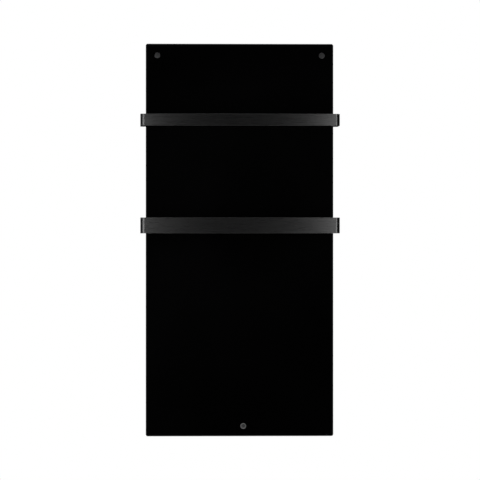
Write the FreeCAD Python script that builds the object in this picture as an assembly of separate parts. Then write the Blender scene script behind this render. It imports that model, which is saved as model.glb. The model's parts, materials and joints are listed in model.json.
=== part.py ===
import FreeCAD, Part
import os
from math import cos, pi, sin, sqrt, tan

# Wall-hung glass panel heater with two towel rails. Sizes are in millimetres.
# X runs to the right, Z runs up, the wall is the plane Y = 0 and the heater stands in front of it,
# towards -Y. The origin is the middle of the four wall screws, on the wall.

Vector = FreeCAD.Vector
ALONG_X = Vector(1, 0, 0)
ALONG_Y = Vector(0, 1, 0)
ALONG_Z = Vector(0, 0, 1)
SIDES = (-1, 1)

# Glass front
glass_width = 478.0
glass_height = 1000.0
glass_thickness = 6.0
glass_corner_radius = 5.0
glass_arris = 0.8
glass_top_z = 115.0

# Depth of the heater, from the wall forwards
wall_gap = 28.0
pan_depth = 20.5
seal_thickness = 1.5
towel_gap = 50.0

# Pressed back pan
pan_sheet = 1.0
pan_edge_inset = 20.0
pan_bottom_inset = 58.0
pan_flange_width = 18.0
pan_corner_radius = 14.0
pan_back_radius = 4.0
seal_margin = 1.5
bead_count = 6
bead_length = 280.0
bead_width = 18.0
bead_depth = 3.0
bead_taper = 3.0
bead_top_drop = 110.0
bead_bottom_rise = 120.0

# Towel rails, bent from flat bar
rail_thickness = 5.0
rail_side_gap = 8.8
rail_inner_bend = 5.0
rail_edge_radius = 1.2
upper_rail_height = 30.0
lower_rail_height = 40.0
upper_rail_drop = 195.3
lower_rail_drop = 463.0
rail_foot_overlap = 40.0
rail_pad_thickness = 1.0
rail_pad_margin = 2.0
rail_screw_end_gap = 10.0
rail_screw_pitch = 20.0
rail_screw_radius = 2.0
rail_screw_head_radius = 4.2
rail_screw_head_height = 2.8
rail_washer_radius = 5.0
rail_washer_thickness = 0.8
rivet_nut_radius = 3.8
rivet_nut_length = 7.0

# Hook rail on the wall and its mate on the pan
hook_sheet = 2.5
hook_bend = 1.0
hook_reach = 14.0
hook_lip_height = 16.0
hook_lap = 12.0
hook_side_gap = 1.2
wall_rail_length = 340.0
wall_rail_height = 52.0
wall_screw_pitch_x = 260.0
wall_screw_pitch_z = 24.0
wall_screw_hole_radius = 2.75
hanger_length = 300.0
hanger_height = 32.0
hanger_rivet_count = 5
hanger_rivet_radius = 2.1
hanger_rivet_head_radius = 4.5
hanger_rivet_head_height = 1.4
hanger_rivet_tail_radius = 3.4
hanger_rivet_tail_length = 2.8

# Spacers that keep the lower end off the wall
spacer_x_inset = 50.0
spacer_rise = 44.0
spacer_base_radius = 11.0
spacer_tip_radius = 8.0
spacer_screw_radius = 1.9
spacer_screw_head_radius = 3.6
spacer_screw_head_height = 2.4
spacer_screw_bite = 5.0
spacer_floor = 8.0
spacer_pad_thickness = 1.5

# Round fixings through the top corners of the glass
fixing_side_inset = 29.3
fixing_top_inset = 30.0
fixing_cap_radius = 7.5
fixing_cap_height = 3.5
fixing_cap_bevel = 0.7
fixing_stud_radius = 3.0
fixing_hole_radius = 5.0
fixing_bush_flange_radius = 6.8
fixing_bush_flange = 0.6
fixing_washer_radius = 6.0
fixing_washer_thickness = 1.0
fixing_nut_flats = 10.0
fixing_nut_height = 5.0
fixing_stud_spare = 1.5

# Heating element, from the glass backwards
element_margin = 6.0
film_thickness = 0.5
track_thickness = 0.3
track_width = 9.0
track_runs = 18
track_margin = 12.0
track_inner_bend = 3.0
mica_thickness = 0.5
foil_thickness = 0.3
tab_zone = 30.0
tab_width = 14.0
tab_length = 16.0
tab_height = 12.0
tab_sheet = 0.8
cutout_zone = 40.0
cutout_x = 90.0
cutout_radius = 8.0
cutout_base_radius = 7.0
cutout_cup_height = 1.6
cutout_blade_reach = 12.0
cutout_blade_width = 6.0
cutout_blade_sheet = 0.8
insulation_pocket_radius = 6.0
insulation_pocket_depth = 6.0

# Moulded control box behind the lower edge of the glass
box_width = 150.0
box_height = 46.0
box_depth = 31.5
box_wall = 2.2
box_corner_radius = 6.0
box_edge_radius = 2.0
box_glass_gap = 0.5
box_flange_gap = 2.0
box_boss_radius = 3.2
box_boss_inset = 5.4
box_lug_offset = 50.0
box_lug_radius = 8.0
box_lug_thickness = 3.5
box_lug_hole_rise = 12.0
cover_thickness = 2.2
cover_gasket_thickness = 1.0
cover_screw_radius = 1.4
cover_screw_head_radius = 2.8
cover_screw_head_height = 1.8
cover_screw_bite = 9.0
lug_screw_radius = 1.9
lug_screw_head_radius = 3.8
lug_screw_head_height = 2.6
lug_screw_bite = 5.0

# Push button through the glass
button_x = 9.3
button_rise = 26.0
bezel_radius = 7.2
bezel_flange = 1.6
bezel_bevel = 0.5
bezel_gasket = 0.5
barrel_radius = 5.5
barrel_spare = 3.0
button_cap_radius = 4.5
button_cap_length = 3.5
button_cap_proud = 0.8
button_cap_bevel = 0.4
button_stem_radius = 2.0
button_travel = 1.5
button_ledge_depth = 7.5
button_ledge_thickness = 2.5
button_clip_radius = 3.2
button_clip_thickness = 0.8
button_stem_spare = 1.3
button_nut_flats = 14.0
button_nut_height = 4.0
barrel_rear_bore = 3.7
spring_radius = 3.5
spring_wire_radius = 0.3
spring_turns = 3
switch_length = 10.0
switch_pin_radius = 1.5
switch_pin_gap = 0.4
switch_blade_reach = 5.0
switch_blade_spread = 5.0
switch_blade_width = 3.0
switch_blade_sheet = 0.8

# Terminals, leads and cable gland
terminal_poles = 3
terminal_pitch = 11.0
terminal_height = 16.0
terminal_depth = 17.0
terminal_side_gap = 12.0
terminal_slot = 1.6
terminal_slot_depth = 5.0
terminal_screw_radius = 2.4
terminal_screw_length = 2.0
terminal_recess = 3.0
lead_radius = 0.9
lead_bend = 3.0
lead_pitch = 2.2
lead_straight = 6.0
lead_back_gap = 9.0
grommet_bore = 3.4
grommet_radius = 4.4
grommet_flange_radius = 5.8
grommet_flange = 1.6
earth_screw_radius = 4.0
earth_screw_height = 4.0
earth_rise = 24.0
gland_thread_radius = 8.0
gland_bore = 4.0
gland_hex_flats = 20.0
gland_hex_length = 6.0
gland_front_length = 9.0
gland_tail_length = 8.0
gland_axis_depth = 15.0
gland_axis_drop = 23.0
gland_seal_radius = 6.0
gland_seal_length = 8.0
gland_washer_thickness = 1.5
gland_nut_length = 15.0
gland_nut_mouth = 4.6
gland_nut_dome = 4.0
gland_nut_wall = 1.6
gland_locknut_height = 4.0

# Clearances
screw_clearance = 0.3
thread_clearance = 0.1
slide_clearance = 0.3
seat_clearance = 0.3

# Planes across the depth
pan_back_y = -wall_gap
pan_inside_y = pan_back_y - pan_sheet
pan_front_y = pan_back_y - pan_depth
flange_back_y = pan_front_y + pan_sheet
glass_back_y = pan_front_y - seal_thickness
glass_front_y = glass_back_y - glass_thickness
rail_back_y = glass_front_y - towel_gap
track_front_y = glass_back_y + film_thickness
track_back_y = track_front_y + track_thickness
mica_back_y = track_back_y + mica_thickness
foil_back_y = mica_back_y + foil_thickness
insulation_back_y = pan_inside_y - bead_depth - seat_clearance
lead_y = pan_inside_y - lead_back_gap
cutout_back_y = lead_y - cutout_blade_sheet / 2
box_front_y = glass_back_y + box_glass_gap
box_inside_y = box_front_y + box_wall
box_back_y = box_front_y + box_depth
cover_front_y = box_back_y + cover_gasket_thickness
cover_back_y = cover_front_y + cover_thickness
foot_front_y = pan_back_y + rail_pad_thickness
foot_back_y = foot_front_y + rail_thickness
barrel_back_y = box_inside_y + button_nut_height + barrel_spare
bezel_back_y = glass_front_y - bezel_gasket
bezel_front_y = bezel_back_y - bezel_flange
ledge_front_y = bezel_front_y + button_ledge_depth
ledge_back_y = ledge_front_y + button_ledge_thickness
cap_front_y = bezel_front_y - button_cap_proud
cap_back_y = cap_front_y + button_cap_length
clip_back_y = ledge_back_y + button_clip_thickness
stem_end_y = clip_back_y + button_stem_spare

# Outlines seen from the front: left, right, bottom, top
glass_bottom_z = glass_top_z - glass_height
glass_outline = (-glass_width / 2, glass_width / 2, glass_bottom_z, glass_top_z)
flange_outline = (
    glass_outline[0] + pan_edge_inset,
    glass_outline[1] - pan_edge_inset,
    glass_bottom_z + pan_bottom_inset,
    glass_top_z - pan_edge_inset,
)


def grown(outline, amount):
    """An outline moved outwards on all four sides."""
    left, right, bottom, top = outline
    return (left - amount, right + amount, bottom - amount, top + amount)


wall_outline = grown(flange_outline, -pan_flange_width)
room_outline = grown(wall_outline, -pan_sheet)
film_outline = grown(room_outline, -element_margin)
sheet_bottom_z = film_outline[2] + tab_zone
sheet_outline = (film_outline[0], film_outline[1], sheet_bottom_z, film_outline[3])
insulation_outline = (
    film_outline[0],
    film_outline[1],
    sheet_bottom_z + cutout_zone,
    film_outline[3],
)
box_top_z = flange_outline[2] - box_flange_gap
box_outline = (
    button_x - box_width / 2,
    button_x + box_width / 2,
    box_top_z - box_height,
    box_top_z,
)

# Places of the smaller pieces
button_z = glass_bottom_z + button_rise
fixing_x = glass_width / 2 - fixing_side_inset
fixing_z = glass_top_z - fixing_top_inset
foot_outer_x = wall_outline[1] - pan_back_radius
foot_end_x = foot_outer_x - rail_foot_overlap
rail_sizes = {
    "upper": (glass_top_z - upper_rail_drop, upper_rail_height),
    "lower": (glass_top_z - lower_rail_drop, lower_rail_height),
}
hook_lip_top_z = wall_rail_height / 2 - hook_sheet + hook_lip_height
hanger_rivet_z = hook_lip_top_z + hook_sheet + hanger_height / 2
spacer_x = wall_outline[1] - spacer_x_inset
spacer_z = wall_outline[2] + spacer_rise
cutout_z = sheet_bottom_z + cutout_zone / 2
track_end_x = film_outline[1] - track_margin
terminal_width = terminal_poles * terminal_pitch
terminal_x = box_outline[0] + box_wall + terminal_side_gap + terminal_width / 2
lug_hole_z = wall_outline[2] + box_lug_hole_rise
earth_z = room_outline[2] + earth_rise
gland_y = box_front_y + gland_axis_depth
gland_z = box_top_z - gland_axis_drop
gland_wall_x = box_outline[1]
gland_hex_x = gland_wall_x + gland_washer_thickness
gland_shoulder_x = gland_hex_x + gland_hex_length


def mirrored_places(x, z):
    """The same height on the left and on the right."""
    return [(side * x, z) for side in SIDES]


def rail_screw_places():
    """Two screws in each foot of both rails."""
    places = []
    for height_z, _ in rail_sizes.values():
        for number in range(2):
            x = foot_end_x + rail_screw_end_gap + number * rail_screw_pitch
            places += mirrored_places(x, height_z)
    return places


def rivet_places():
    """A row of rivets along the hook rail of the pan."""
    pitch = hanger_length / hanger_rivet_count
    first = (pitch - hanger_length) / 2
    return [(first + number * pitch, hanger_rivet_z) for number in range(hanger_rivet_count)]


def lug_places():
    """The screw of each lug of the control box."""
    return [(button_x + side * box_lug_offset, lug_hole_z) for side in SIDES]


def cover_screw_places():
    """The four corners of the control box."""
    left, right, bottom, top = grown(box_outline, -box_boss_inset)
    return [(x, z) for x in (left, right) for z in (bottom, top)]


def terminal_places():
    """The three poles, from left to right."""
    first = terminal_x - terminal_pitch * (terminal_poles - 1) / 2
    return [first + pole * terminal_pitch for pole in range(terminal_poles)]


# Ways of making solids


def block(x_range, y_range, z_range):
    """A plain block between pairs of coordinates."""
    sizes = [high - low for low, high in (x_range, y_range, z_range)]
    return Part.makeBox(*sizes, Vector(x_range[0], y_range[0], z_range[0]))


def rounded_plate(outline, radius, front_y, back_y):
    """A plate with rounded corners, seen from the front as its outline."""
    left, right, bottom, top = outline
    plate = block((left, right), (front_y, back_y), (bottom, top))
    corners = [edge for edge in plate.Edges if abs(edge.tangentAt(0).dot(ALONG_Y)) > 0.9]
    return plate.makeFillet(radius, corners)


def edges_at_depth(shape, y):
    """The edges that lie wholly in one plane across the depth."""
    return [edge for edge in shape.Edges if all(abs(v.Y - y) < 1e-6 for v in edge.Vertexes)]


def turned(profile, place, axis):
    """A solid of revolution from points of radius and distance along the axis."""
    points = [Vector(radius, 0, along) for radius, along in profile]
    solid = Part.Face(Part.makePolygon(points + points[:1])).revolve(Vector(), ALONG_Z, 360)
    solid.Placement = FreeCAD.Placement(place, FreeCAD.Rotation(ALONG_Z, axis))
    return solid


def tube(inner, outer, start, end, place, axis):
    """A ring or sleeve between two distances along the axis."""
    profile = [(inner, start), (outer, start), (outer, end), (inner, end)]
    return turned(profile, place, axis)


def drilled(shape, places, radius, front_y, back_y):
    """The shape with a round hole through the depth at each place."""
    length = back_y - front_y
    for x, z in places:
        shape = shape.cut(Part.makeCylinder(radius, length, Vector(x, front_y, z), ALONG_Y))
    return shape


def hex_prism(flats, start, end, place, axis):
    """A six-sided prism between two distances along the axis."""
    corner = flats / sqrt(3)
    points = [Vector(corner * cos(k * pi / 3), corner * sin(k * pi / 3), start) for k in range(6)]
    prism = Part.Face(Part.makePolygon(points + points[:1])).extrude(ALONG_Z * (end - start))
    prism.Placement = FreeCAD.Placement(place, FreeCAD.Rotation(ALONG_Z, axis))
    return prism


def hex_nut(flats, bore, start, end, place, axis):
    """A six-sided nut with its corners chamfered and a plain bore."""
    corner = flats / sqrt(3)
    drop = corner - flats / 2
    barrel = [(bore, start), (flats / 2, start), (corner, start + drop)]
    barrel += [(corner, end - drop), (flats / 2, end), (bore, end)]
    return hex_prism(flats, start, end, place, axis).common(turned(barrel, place, axis))


def screw(head_radius, head_y, seat_y, radius, tip_y, x, z):
    """A screw along the depth, with a rounded head on the wall side of its seat."""
    crown = (head_y - seat_y) / 2
    profile = [(0, head_y), (head_radius - crown, head_y), (head_radius, head_y - crown)]
    profile += [(head_radius, seat_y), (radius, seat_y), (radius, tip_y), (0, tip_y)]
    return turned(profile, Vector(x, 0, z), ALONG_Y)


def rounded_path(points, radii):
    """Straight runs joined by tangent arcs, with one radius for each inner corner."""
    edges = []
    start = points[0]
    for before, corner, after, radius in zip(points, points[1:], points[2:], radii):
        back = (before - corner).normalize()
        onward = (after - corner).normalize()
        half_turn = (pi - back.getAngle(onward)) / 2
        reach = radius * tan(half_turn)
        leave = corner + back * reach
        join = corner + onward * reach
        inward = (back + onward).normalize()
        middle = corner + inward * (radius / cos(half_turn) - radius)
        edges.append(Part.LineSegment(start, leave).toShape())
        edges.append(Part.Arc(leave, middle, join).toShape())
        start = join
    edges.append(Part.LineSegment(start, points[-1]).toShape())
    return edges


def strip_side(points, offset, inner_radius, thickness, axis):
    """One face line of a folded strip: its shifted corners and the radius of each fold."""
    ways = [(after - before).normalize() for before, after in zip(points, points[1:])]
    normals = [axis.cross(way) for way in ways]
    moved = [points[0] + normals[0] * offset]
    radii = []
    for corner, first, second, way in zip(points[1:], normals, normals[1:], ways):
        moved.append(corner + (first + second) * (offset / (1 + first.dot(second))))
        inside = way.dot(second) * offset < 0
        radii.append(inner_radius if inside else inner_radius + thickness)
    moved.append(points[-1] + normals[-1] * offset)
    return moved, radii


def folded_strip(points, thickness, inner_radius, axis, length):
    """A flat strip folded along the path of its middle line and drawn out along an axis."""
    edges = []
    ends = []
    for offset in (thickness / 2, -thickness / 2):
        moved, radii = strip_side(points, offset, inner_radius, thickness, axis)
        edges += rounded_path(moved, radii)
        ends.append((moved[0], moved[-1]))
    edges += [Part.LineSegment(left, right).toShape() for left, right in zip(*ends)]
    face = Part.Face(Part.Wire(Part.sortEdges(edges)[0]))
    return face.extrude(axis * length)


def lead(points):
    """An insulated wire along straight runs with rounded corners."""
    path = Part.Wire(rounded_path(points, [lead_bend] * (len(points) - 2)))
    ring = Part.Wire(Part.makeCircle(lead_radius, points[0], points[1] - points[0]))
    return path.makePipeShell([ring], True, False)


def obround(half_run, radius, z, y):
    """A slot outline lying across the pan: two runs and two half rounds."""
    corners = [(-half_run, z - radius), (half_run, z - radius)]
    corners += [(half_run, z + radius), (-half_run, z + radius)]
    low_left, low_right, high_right, high_left = [Vector(x, y, high) for x, high in corners]
    right_end = Part.Arc(low_right, Vector(half_run + radius, y, z), high_right)
    left_end = Part.Arc(high_left, Vector(-half_run - radius, y, z), low_left)
    runs = [Part.LineSegment(low_left, low_right), Part.LineSegment(high_right, high_left)]
    return Part.Wire([e.toShape() for e in (runs[0], right_end, runs[1], left_end)])


# Glass and its top fixings


def glass_panel():
    """Toughened glass with polished edges, drilled for the fixings and the button."""
    glass = rounded_plate(glass_outline, glass_corner_radius, glass_front_y, glass_back_y)
    rims = edges_at_depth(glass, glass_front_y) + edges_at_depth(glass, glass_back_y)
    glass = glass.makeChamfer(glass_arris, rims)
    fixings = mirrored_places(fixing_x, fixing_z)
    glass = drilled(glass, fixings, fixing_hole_radius, glass_front_y, glass_back_y)
    button_hole = barrel_radius + screw_clearance
    return drilled(glass, [(button_x, button_z)], button_hole, glass_front_y, glass_back_y)


def fixing_cap(x, z):
    """A round cap with a bevelled rim and its stud in one turned piece."""
    seat_y = glass_front_y - fixing_bush_flange
    face_y = seat_y - fixing_cap_height
    washer_back_y = flange_back_y + fixing_washer_thickness
    tip_y = washer_back_y + fixing_nut_height + fixing_stud_spare
    profile = [(0, face_y), (fixing_cap_radius - fixing_cap_bevel, face_y)]
    profile += [(fixing_cap_radius, face_y + fixing_cap_bevel), (fixing_cap_radius, seat_y)]
    profile += [(fixing_stud_radius, seat_y), (fixing_stud_radius, tip_y), (0, tip_y)]
    return turned(profile, Vector(x, 0, z), ALONG_Y)


def fixing_bush(x, z):
    """A flanged plastic bush that keeps the metal off the glass."""
    bore = fixing_stud_radius + thread_clearance
    sleeve = fixing_hole_radius - thread_clearance
    flange_y = glass_front_y - fixing_bush_flange
    profile = [(bore, flange_y), (fixing_bush_flange_radius, flange_y)]
    profile += [(fixing_bush_flange_radius, glass_front_y), (sleeve, glass_front_y)]
    profile += [(sleeve, glass_back_y), (bore, glass_back_y)]
    return turned(profile, Vector(x, 0, z), ALONG_Y)


def fixing_washer(x, z):
    """A plain washer behind the flange of the pan."""
    bore = fixing_stud_radius + screw_clearance
    back_y = flange_back_y + fixing_washer_thickness
    place = Vector(x, 0, z)
    return tube(bore, fixing_washer_radius, flange_back_y, back_y, place, ALONG_Y)


def fixing_nut(x, z):
    """The nut that clamps glass, seal and flange."""
    start = flange_back_y + fixing_washer_thickness
    bore = fixing_stud_radius + thread_clearance
    place = Vector(x, 0, z)
    return hex_nut(fixing_nut_flats, bore, start, start + fixing_nut_height, place, ALONG_Y)


# Back pan and its seal


def bead(width_growth, front_y, back_y, z):
    """A tapered stiffening bead across the pan."""
    half_run = (bead_length - bead_width) / 2
    mouth = bead_width / 2 + width_growth
    floor = mouth - bead_taper
    outlines = [obround(half_run, mouth, z, back_y), obround(half_run, floor, z, front_y)]
    return Part.makeLoft(outlines, True, True)


def back_pan():
    """A drawn steel tray with a wide front flange and pressed beads."""
    hollow_radius = pan_corner_radius - pan_sheet
    flange_radius = pan_corner_radius + pan_flange_width
    pan = rounded_plate(wall_outline, pan_corner_radius, pan_front_y, pan_back_y)
    pan = pan.makeFillet(pan_back_radius, edges_at_depth(pan, pan_back_y))
    hollow = rounded_plate(room_outline, hollow_radius, pan_front_y, pan_inside_y)
    hollow = hollow.makeFillet(pan_back_radius - pan_sheet, edges_at_depth(hollow, pan_inside_y))
    flange = rounded_plate(flange_outline, flange_radius, pan_front_y, flange_back_y)
    pan = pan.fuse(flange).cut(hollow)
    top = wall_outline[3] - bead_top_drop
    pitch = (top - wall_outline[2] - bead_bottom_rise) / (bead_count - 1)
    for number in range(bead_count):
        z = top - number * pitch
        ridge = bead(pan_sheet, pan_inside_y - bead_depth, pan_inside_y, z)
        groove = bead(0, pan_back_y - bead_depth, pan_back_y, z)
        pan = pan.fuse(ridge).cut(groove)
    return pierced_pan(pan.removeSplitter())


def pierced_pan(pan):
    """The pan with the holes that its fastenings and leads need."""
    places = {
        rail_screw_radius + screw_clearance: rail_screw_places(),
        hanger_rivet_radius + thread_clearance: rivet_places(),
        spacer_screw_radius + thread_clearance: mirrored_places(spacer_x, spacer_z) + lug_places(),
    }
    for radius, spots in places.items():
        pan = drilled(pan, spots, radius, pan_inside_y, pan_back_y)
    stud_hole = fixing_stud_radius + screw_clearance
    fixings = mirrored_places(fixing_x, fixing_z)
    pan = drilled(pan, fixings, stud_hole, pan_front_y, flange_back_y)
    lead_hole_base = Vector(terminal_x, lead_y, wall_outline[2])
    return pan.cut(Part.makeCylinder(grommet_radius, pan_sheet, lead_hole_base, ALONG_Z))


def pan_seal():
    """A bonded frame between the flange and the back of the glass."""
    outer_radius = pan_corner_radius + pan_flange_width - seal_margin
    inner_radius = pan_corner_radius + seal_margin
    outer = grown(flange_outline, -seal_margin)
    inner = grown(wall_outline, seal_margin)
    seal = rounded_plate(outer, outer_radius, glass_back_y, pan_front_y)
    seal = seal.cut(rounded_plate(inner, inner_radius, glass_back_y, pan_front_y))
    fixings = mirrored_places(fixing_x, fixing_z)
    return drilled(seal, fixings, fixing_hole_radius, glass_back_y, pan_front_y)


# Heating element


def element_sheet(outline, front_y, back_y):
    """One flat layer of the heating element."""
    left, right, bottom, top = outline
    return block((left, right), (front_y, back_y), (bottom, top))


def heating_track():
    """A flat conductor that runs up and down the film, with both ends at the bottom."""
    low = film_outline[2] + track_margin
    high = film_outline[3] - track_margin
    pitch = 2 * track_end_x / (track_runs - 1)
    points = []
    for run in range(track_runs):
        x = run * pitch - track_end_x
        heights = (low, high) if run % 2 == 0 else (high, low)
        points += [Vector(x, track_front_y, z) for z in heights]
    turn = track_width + track_inner_bend
    for index in range(3, len(points) - 1, 4):
        for corner in points[index : index + 2]:
            corner.z = low + turn
    return folded_strip(points, track_width, track_inner_bend, ALONG_Y, track_thickness)


def element_tab(side):
    """A folded copper tab on one end of the track, for its lead."""
    low = film_outline[2] + track_margin
    mid_y = track_back_y + tab_sheet / 2
    left = side * track_end_x - tab_width / 2
    points = [
        Vector(left, mid_y, low),
        Vector(left, mid_y, low + tab_length),
        Vector(left, mid_y + tab_height, low + tab_length),
    ]
    return folded_strip(points, tab_sheet, tab_sheet, ALONG_X, tab_width)


def insulation_board():
    """A mineral board behind the foil, pocketed for the tails of the fastenings."""
    board = element_sheet(insulation_outline, foil_back_y, insulation_back_y)
    start = insulation_back_y - insulation_pocket_depth
    places = rail_screw_places() + rivet_places()
    return drilled(board, places, insulation_pocket_radius, start, insulation_back_y)


def thermal_cutout(x):
    """A disc thermostat with a blade on each side, seated on the foil."""
    cup_y = foil_back_y + cutout_cup_height
    base_y = cutout_back_y
    blade_y = base_y + cutout_blade_sheet
    profile = [(0, foil_back_y), (cutout_radius, foil_back_y), (cutout_radius, cup_y)]
    profile += [(cutout_base_radius, cup_y), (cutout_base_radius, base_y), (0, base_y)]
    body = turned(profile, Vector(x, 0, cutout_z), ALONG_Y)
    blade_half = cutout_blade_width / 2
    x_range = (x - cutout_blade_reach, x + cutout_blade_reach)
    blades = block(x_range, (base_y, blade_y), (cutout_z - blade_half, cutout_z + blade_half))
    return body.fuse(blades)


# Hook rails, spacers and towel rails


def wall_rail():
    """A folded rail that is screwed to the wall, with its lip turned up."""
    base_y = -hook_sheet / 2
    lip_y = hook_sheet / 2 - hook_reach
    web_z = (wall_rail_height - hook_sheet) / 2
    left = -wall_rail_length / 2
    points = [
        Vector(left, base_y, -wall_rail_height / 2),
        Vector(left, base_y, web_z),
        Vector(left, lip_y, web_z),
        Vector(left, lip_y, hook_lip_top_z),
    ]
    rail = folded_strip(points, hook_sheet, hook_bend, ALONG_X, wall_rail_length)
    places = []
    for side in SIDES:
        places += mirrored_places(wall_screw_pitch_x / 2, side * wall_screw_pitch_z / 2)
    return drilled(rail, places, wall_screw_hole_radius, -hook_sheet, 0)


def hanger_rail():
    """The mate of the wall rail, riveted to the pan with its lip turned down."""
    base_y = pan_back_y + hook_sheet / 2
    lip_y = hook_sheet - hook_reach + hook_side_gap + hook_sheet / 2
    web_z = hook_lip_top_z + hook_sheet / 2
    left = -hanger_length / 2
    points = [
        Vector(left, base_y, hook_lip_top_z + hanger_height),
        Vector(left, base_y, web_z),
        Vector(left, lip_y, web_z),
        Vector(left, lip_y, hook_lip_top_z - hook_lap),
    ]
    rail = folded_strip(points, hook_sheet, hook_bend, ALONG_X, hanger_length)
    hole = hanger_rivet_radius + thread_clearance
    return drilled(rail, rivet_places(), hole, pan_back_y, pan_back_y + hook_sheet)


def hanger_rivet(x, z):
    """A blind rivet with its head on the hook rail and its tail inside the pan."""
    seat_y = pan_back_y + hook_sheet
    head_y = seat_y + hanger_rivet_head_height
    tail_y = pan_inside_y - hanger_rivet_tail_length
    head = hanger_rivet_head_radius
    profile = [(0, head_y), (head - hanger_rivet_head_height, head_y), (head, seat_y)]
    profile += [(hanger_rivet_radius, seat_y), (hanger_rivet_radius, pan_inside_y)]
    profile += [(hanger_rivet_tail_radius, pan_inside_y), (hanger_rivet_tail_radius, tail_y)]
    return turned(profile + [(0, tail_y)], Vector(x, 0, z), ALONG_Y)


def wall_spacer(x, z):
    """A tapered moulded cup, open towards the wall for its screw."""
    tip_y = -spacer_pad_thickness
    floor_y = pan_back_y + spacer_floor
    bore = spacer_screw_radius + screw_clearance
    well = spacer_screw_head_radius + screw_clearance
    profile = [(bore, pan_back_y), (spacer_base_radius, pan_back_y), (spacer_tip_radius, tip_y)]
    profile += [(well, tip_y), (well, floor_y), (bore, floor_y)]
    return turned(profile, Vector(x, 0, z), ALONG_Y)


def spacer_pad(x, z):
    """A rubber ring on the tip of a spacer, flush with the wall."""
    well = spacer_screw_head_radius + screw_clearance
    place = Vector(x, 0, z)
    return tube(well, spacer_tip_radius, -spacer_pad_thickness, 0, place, ALONG_Y)


def spacer_screw(x, z):
    """A screw down the well of a spacer into the pan."""
    seat_y = pan_back_y + spacer_floor
    head_y = seat_y + spacer_screw_head_height
    tip_y = pan_inside_y - spacer_screw_bite
    return screw(spacer_screw_head_radius, head_y, seat_y, spacer_screw_radius, tip_y, x, z)


def towel_rail(height_z, height):
    """A flat bar bent round the sides of the glass, with its feet on the back of the pan."""
    leg_x = glass_width / 2 + rail_side_gap + rail_thickness / 2
    foot_y = foot_front_y + rail_thickness / 2
    front_y = rail_back_y - rail_thickness / 2
    low_z = height_z - height / 2
    route = [(-foot_end_x, foot_y), (-leg_x, foot_y), (-leg_x, front_y)]
    route += [(leg_x, front_y), (leg_x, foot_y), (foot_end_x, foot_y)]
    points = [Vector(x, y, low_z) for x, y in route]
    bar = folded_strip(points, rail_thickness, rail_inner_bend, ALONG_Z, height)
    long_edges = [edge for edge in bar.Edges if lies_flat(edge) and not crosses_foot_end(edge)]
    bar = bar.makeFillet(rail_edge_radius, long_edges)
    places = [place for place in rail_screw_places() if place[1] == height_z]
    return drilled(bar, places, rail_screw_radius + screw_clearance, foot_front_y, foot_back_y)


def lies_flat(edge):
    """Whether an edge keeps one height."""
    return edge.BoundBox.ZLength < 1e-6


def crosses_foot_end(edge):
    """Whether an edge is the short end of a foot."""
    return edge.BoundBox.XLength < 1e-6 and abs(abs(edge.CenterOfMass.x) - foot_end_x) < 1e-6


def rail_pad(side, height_z, height):
    """A thin pad between a foot and the pan."""
    half = height / 2 - rail_pad_margin
    ends = sorted((side * foot_end_x, side * foot_outer_x))
    outline = (ends[0], ends[1], height_z - half, height_z + half)
    pad = rounded_plate(outline, rail_pad_margin, pan_back_y, foot_front_y)
    places = [place for place in rail_screw_places() if place[1] == height_z and place[0] * side > 0]
    return drilled(pad, places, rail_screw_radius + screw_clearance, pan_back_y, foot_front_y)


def rail_screw(x, z):
    """A screw through a foot, its pad and the pan into a rivet nut."""
    seat_y = foot_back_y + rail_washer_thickness
    head_y = seat_y + rail_screw_head_height
    tip_y = pan_inside_y - rivet_nut_length
    return screw(rail_screw_head_radius, head_y, seat_y, rail_screw_radius, tip_y, x, z)


def rail_washer(x, z):
    """A plain washer under the head of a rail screw."""
    bore = rail_screw_radius + screw_clearance
    back_y = foot_back_y + rail_washer_thickness
    return tube(bore, rail_washer_radius, foot_back_y, back_y, Vector(x, 0, z), ALONG_Y)


def rivet_nut(x, z):
    """A threaded sleeve set in the pan for a rail screw."""
    bore = rail_screw_radius + thread_clearance
    tail_y = pan_inside_y - rivet_nut_length
    return tube(bore, rivet_nut_radius, tail_y, pan_inside_y, Vector(x, 0, z), ALONG_Y)


# Control box


def box_lug(x):
    """A round-ended lug that reaches up behind the pan."""
    root_z = box_top_z - box_wall
    y_range = (pan_back_y, pan_back_y + box_lug_thickness)
    shank = block((x - box_lug_radius, x + box_lug_radius), y_range, (root_z, lug_hole_z))
    start = Vector(x, pan_back_y, lug_hole_z)
    return shank.fuse(Part.makeCylinder(box_lug_radius, box_lug_thickness, start, ALONG_Y))


def control_box():
    """A moulded box, open towards the wall, with corner bosses and two lugs."""
    box = rounded_plate(box_outline, box_corner_radius, box_front_y, box_back_y)
    box = box.makeFillet(box_edge_radius, edges_at_depth(box, box_front_y))
    room = grown(box_outline, -box_wall)
    box = box.cut(rounded_plate(room, box_corner_radius - box_wall, box_inside_y, box_back_y))
    depth = box_back_y - box_inside_y
    for x, z in cover_screw_places():
        start = Vector(x, box_inside_y, z)
        box = box.fuse(Part.makeCylinder(box_boss_radius, depth, start, ALONG_Y))
    for x, _ in lug_places():
        box = box.fuse(box_lug(x))
    box = box.removeSplitter()
    bite_y = cover_front_y - cover_screw_bite - thread_clearance
    pilot = cover_screw_radius + thread_clearance
    box = drilled(box, cover_screw_places(), pilot, bite_y, box_back_y)
    lug_back_y = pan_back_y + box_lug_thickness
    lug_hole = lug_screw_radius + screw_clearance
    box = drilled(box, lug_places(), lug_hole, pan_back_y, lug_back_y)
    barrel_hole = barrel_radius + screw_clearance
    box = drilled(box, [(button_x, button_z)], barrel_hole, box_front_y, box_inside_y)
    lead_hole = Vector(terminal_x, lead_y, box_top_z - box_wall)
    box = box.cut(Part.makeCylinder(grommet_radius, box_wall, lead_hole, ALONG_Z))
    gland_hole = Vector(gland_wall_x - box_wall, gland_y, gland_z)
    gland_hole_radius = gland_thread_radius + screw_clearance
    return box.cut(Part.makeCylinder(gland_hole_radius, box_wall, gland_hole, ALONG_X))


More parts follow.
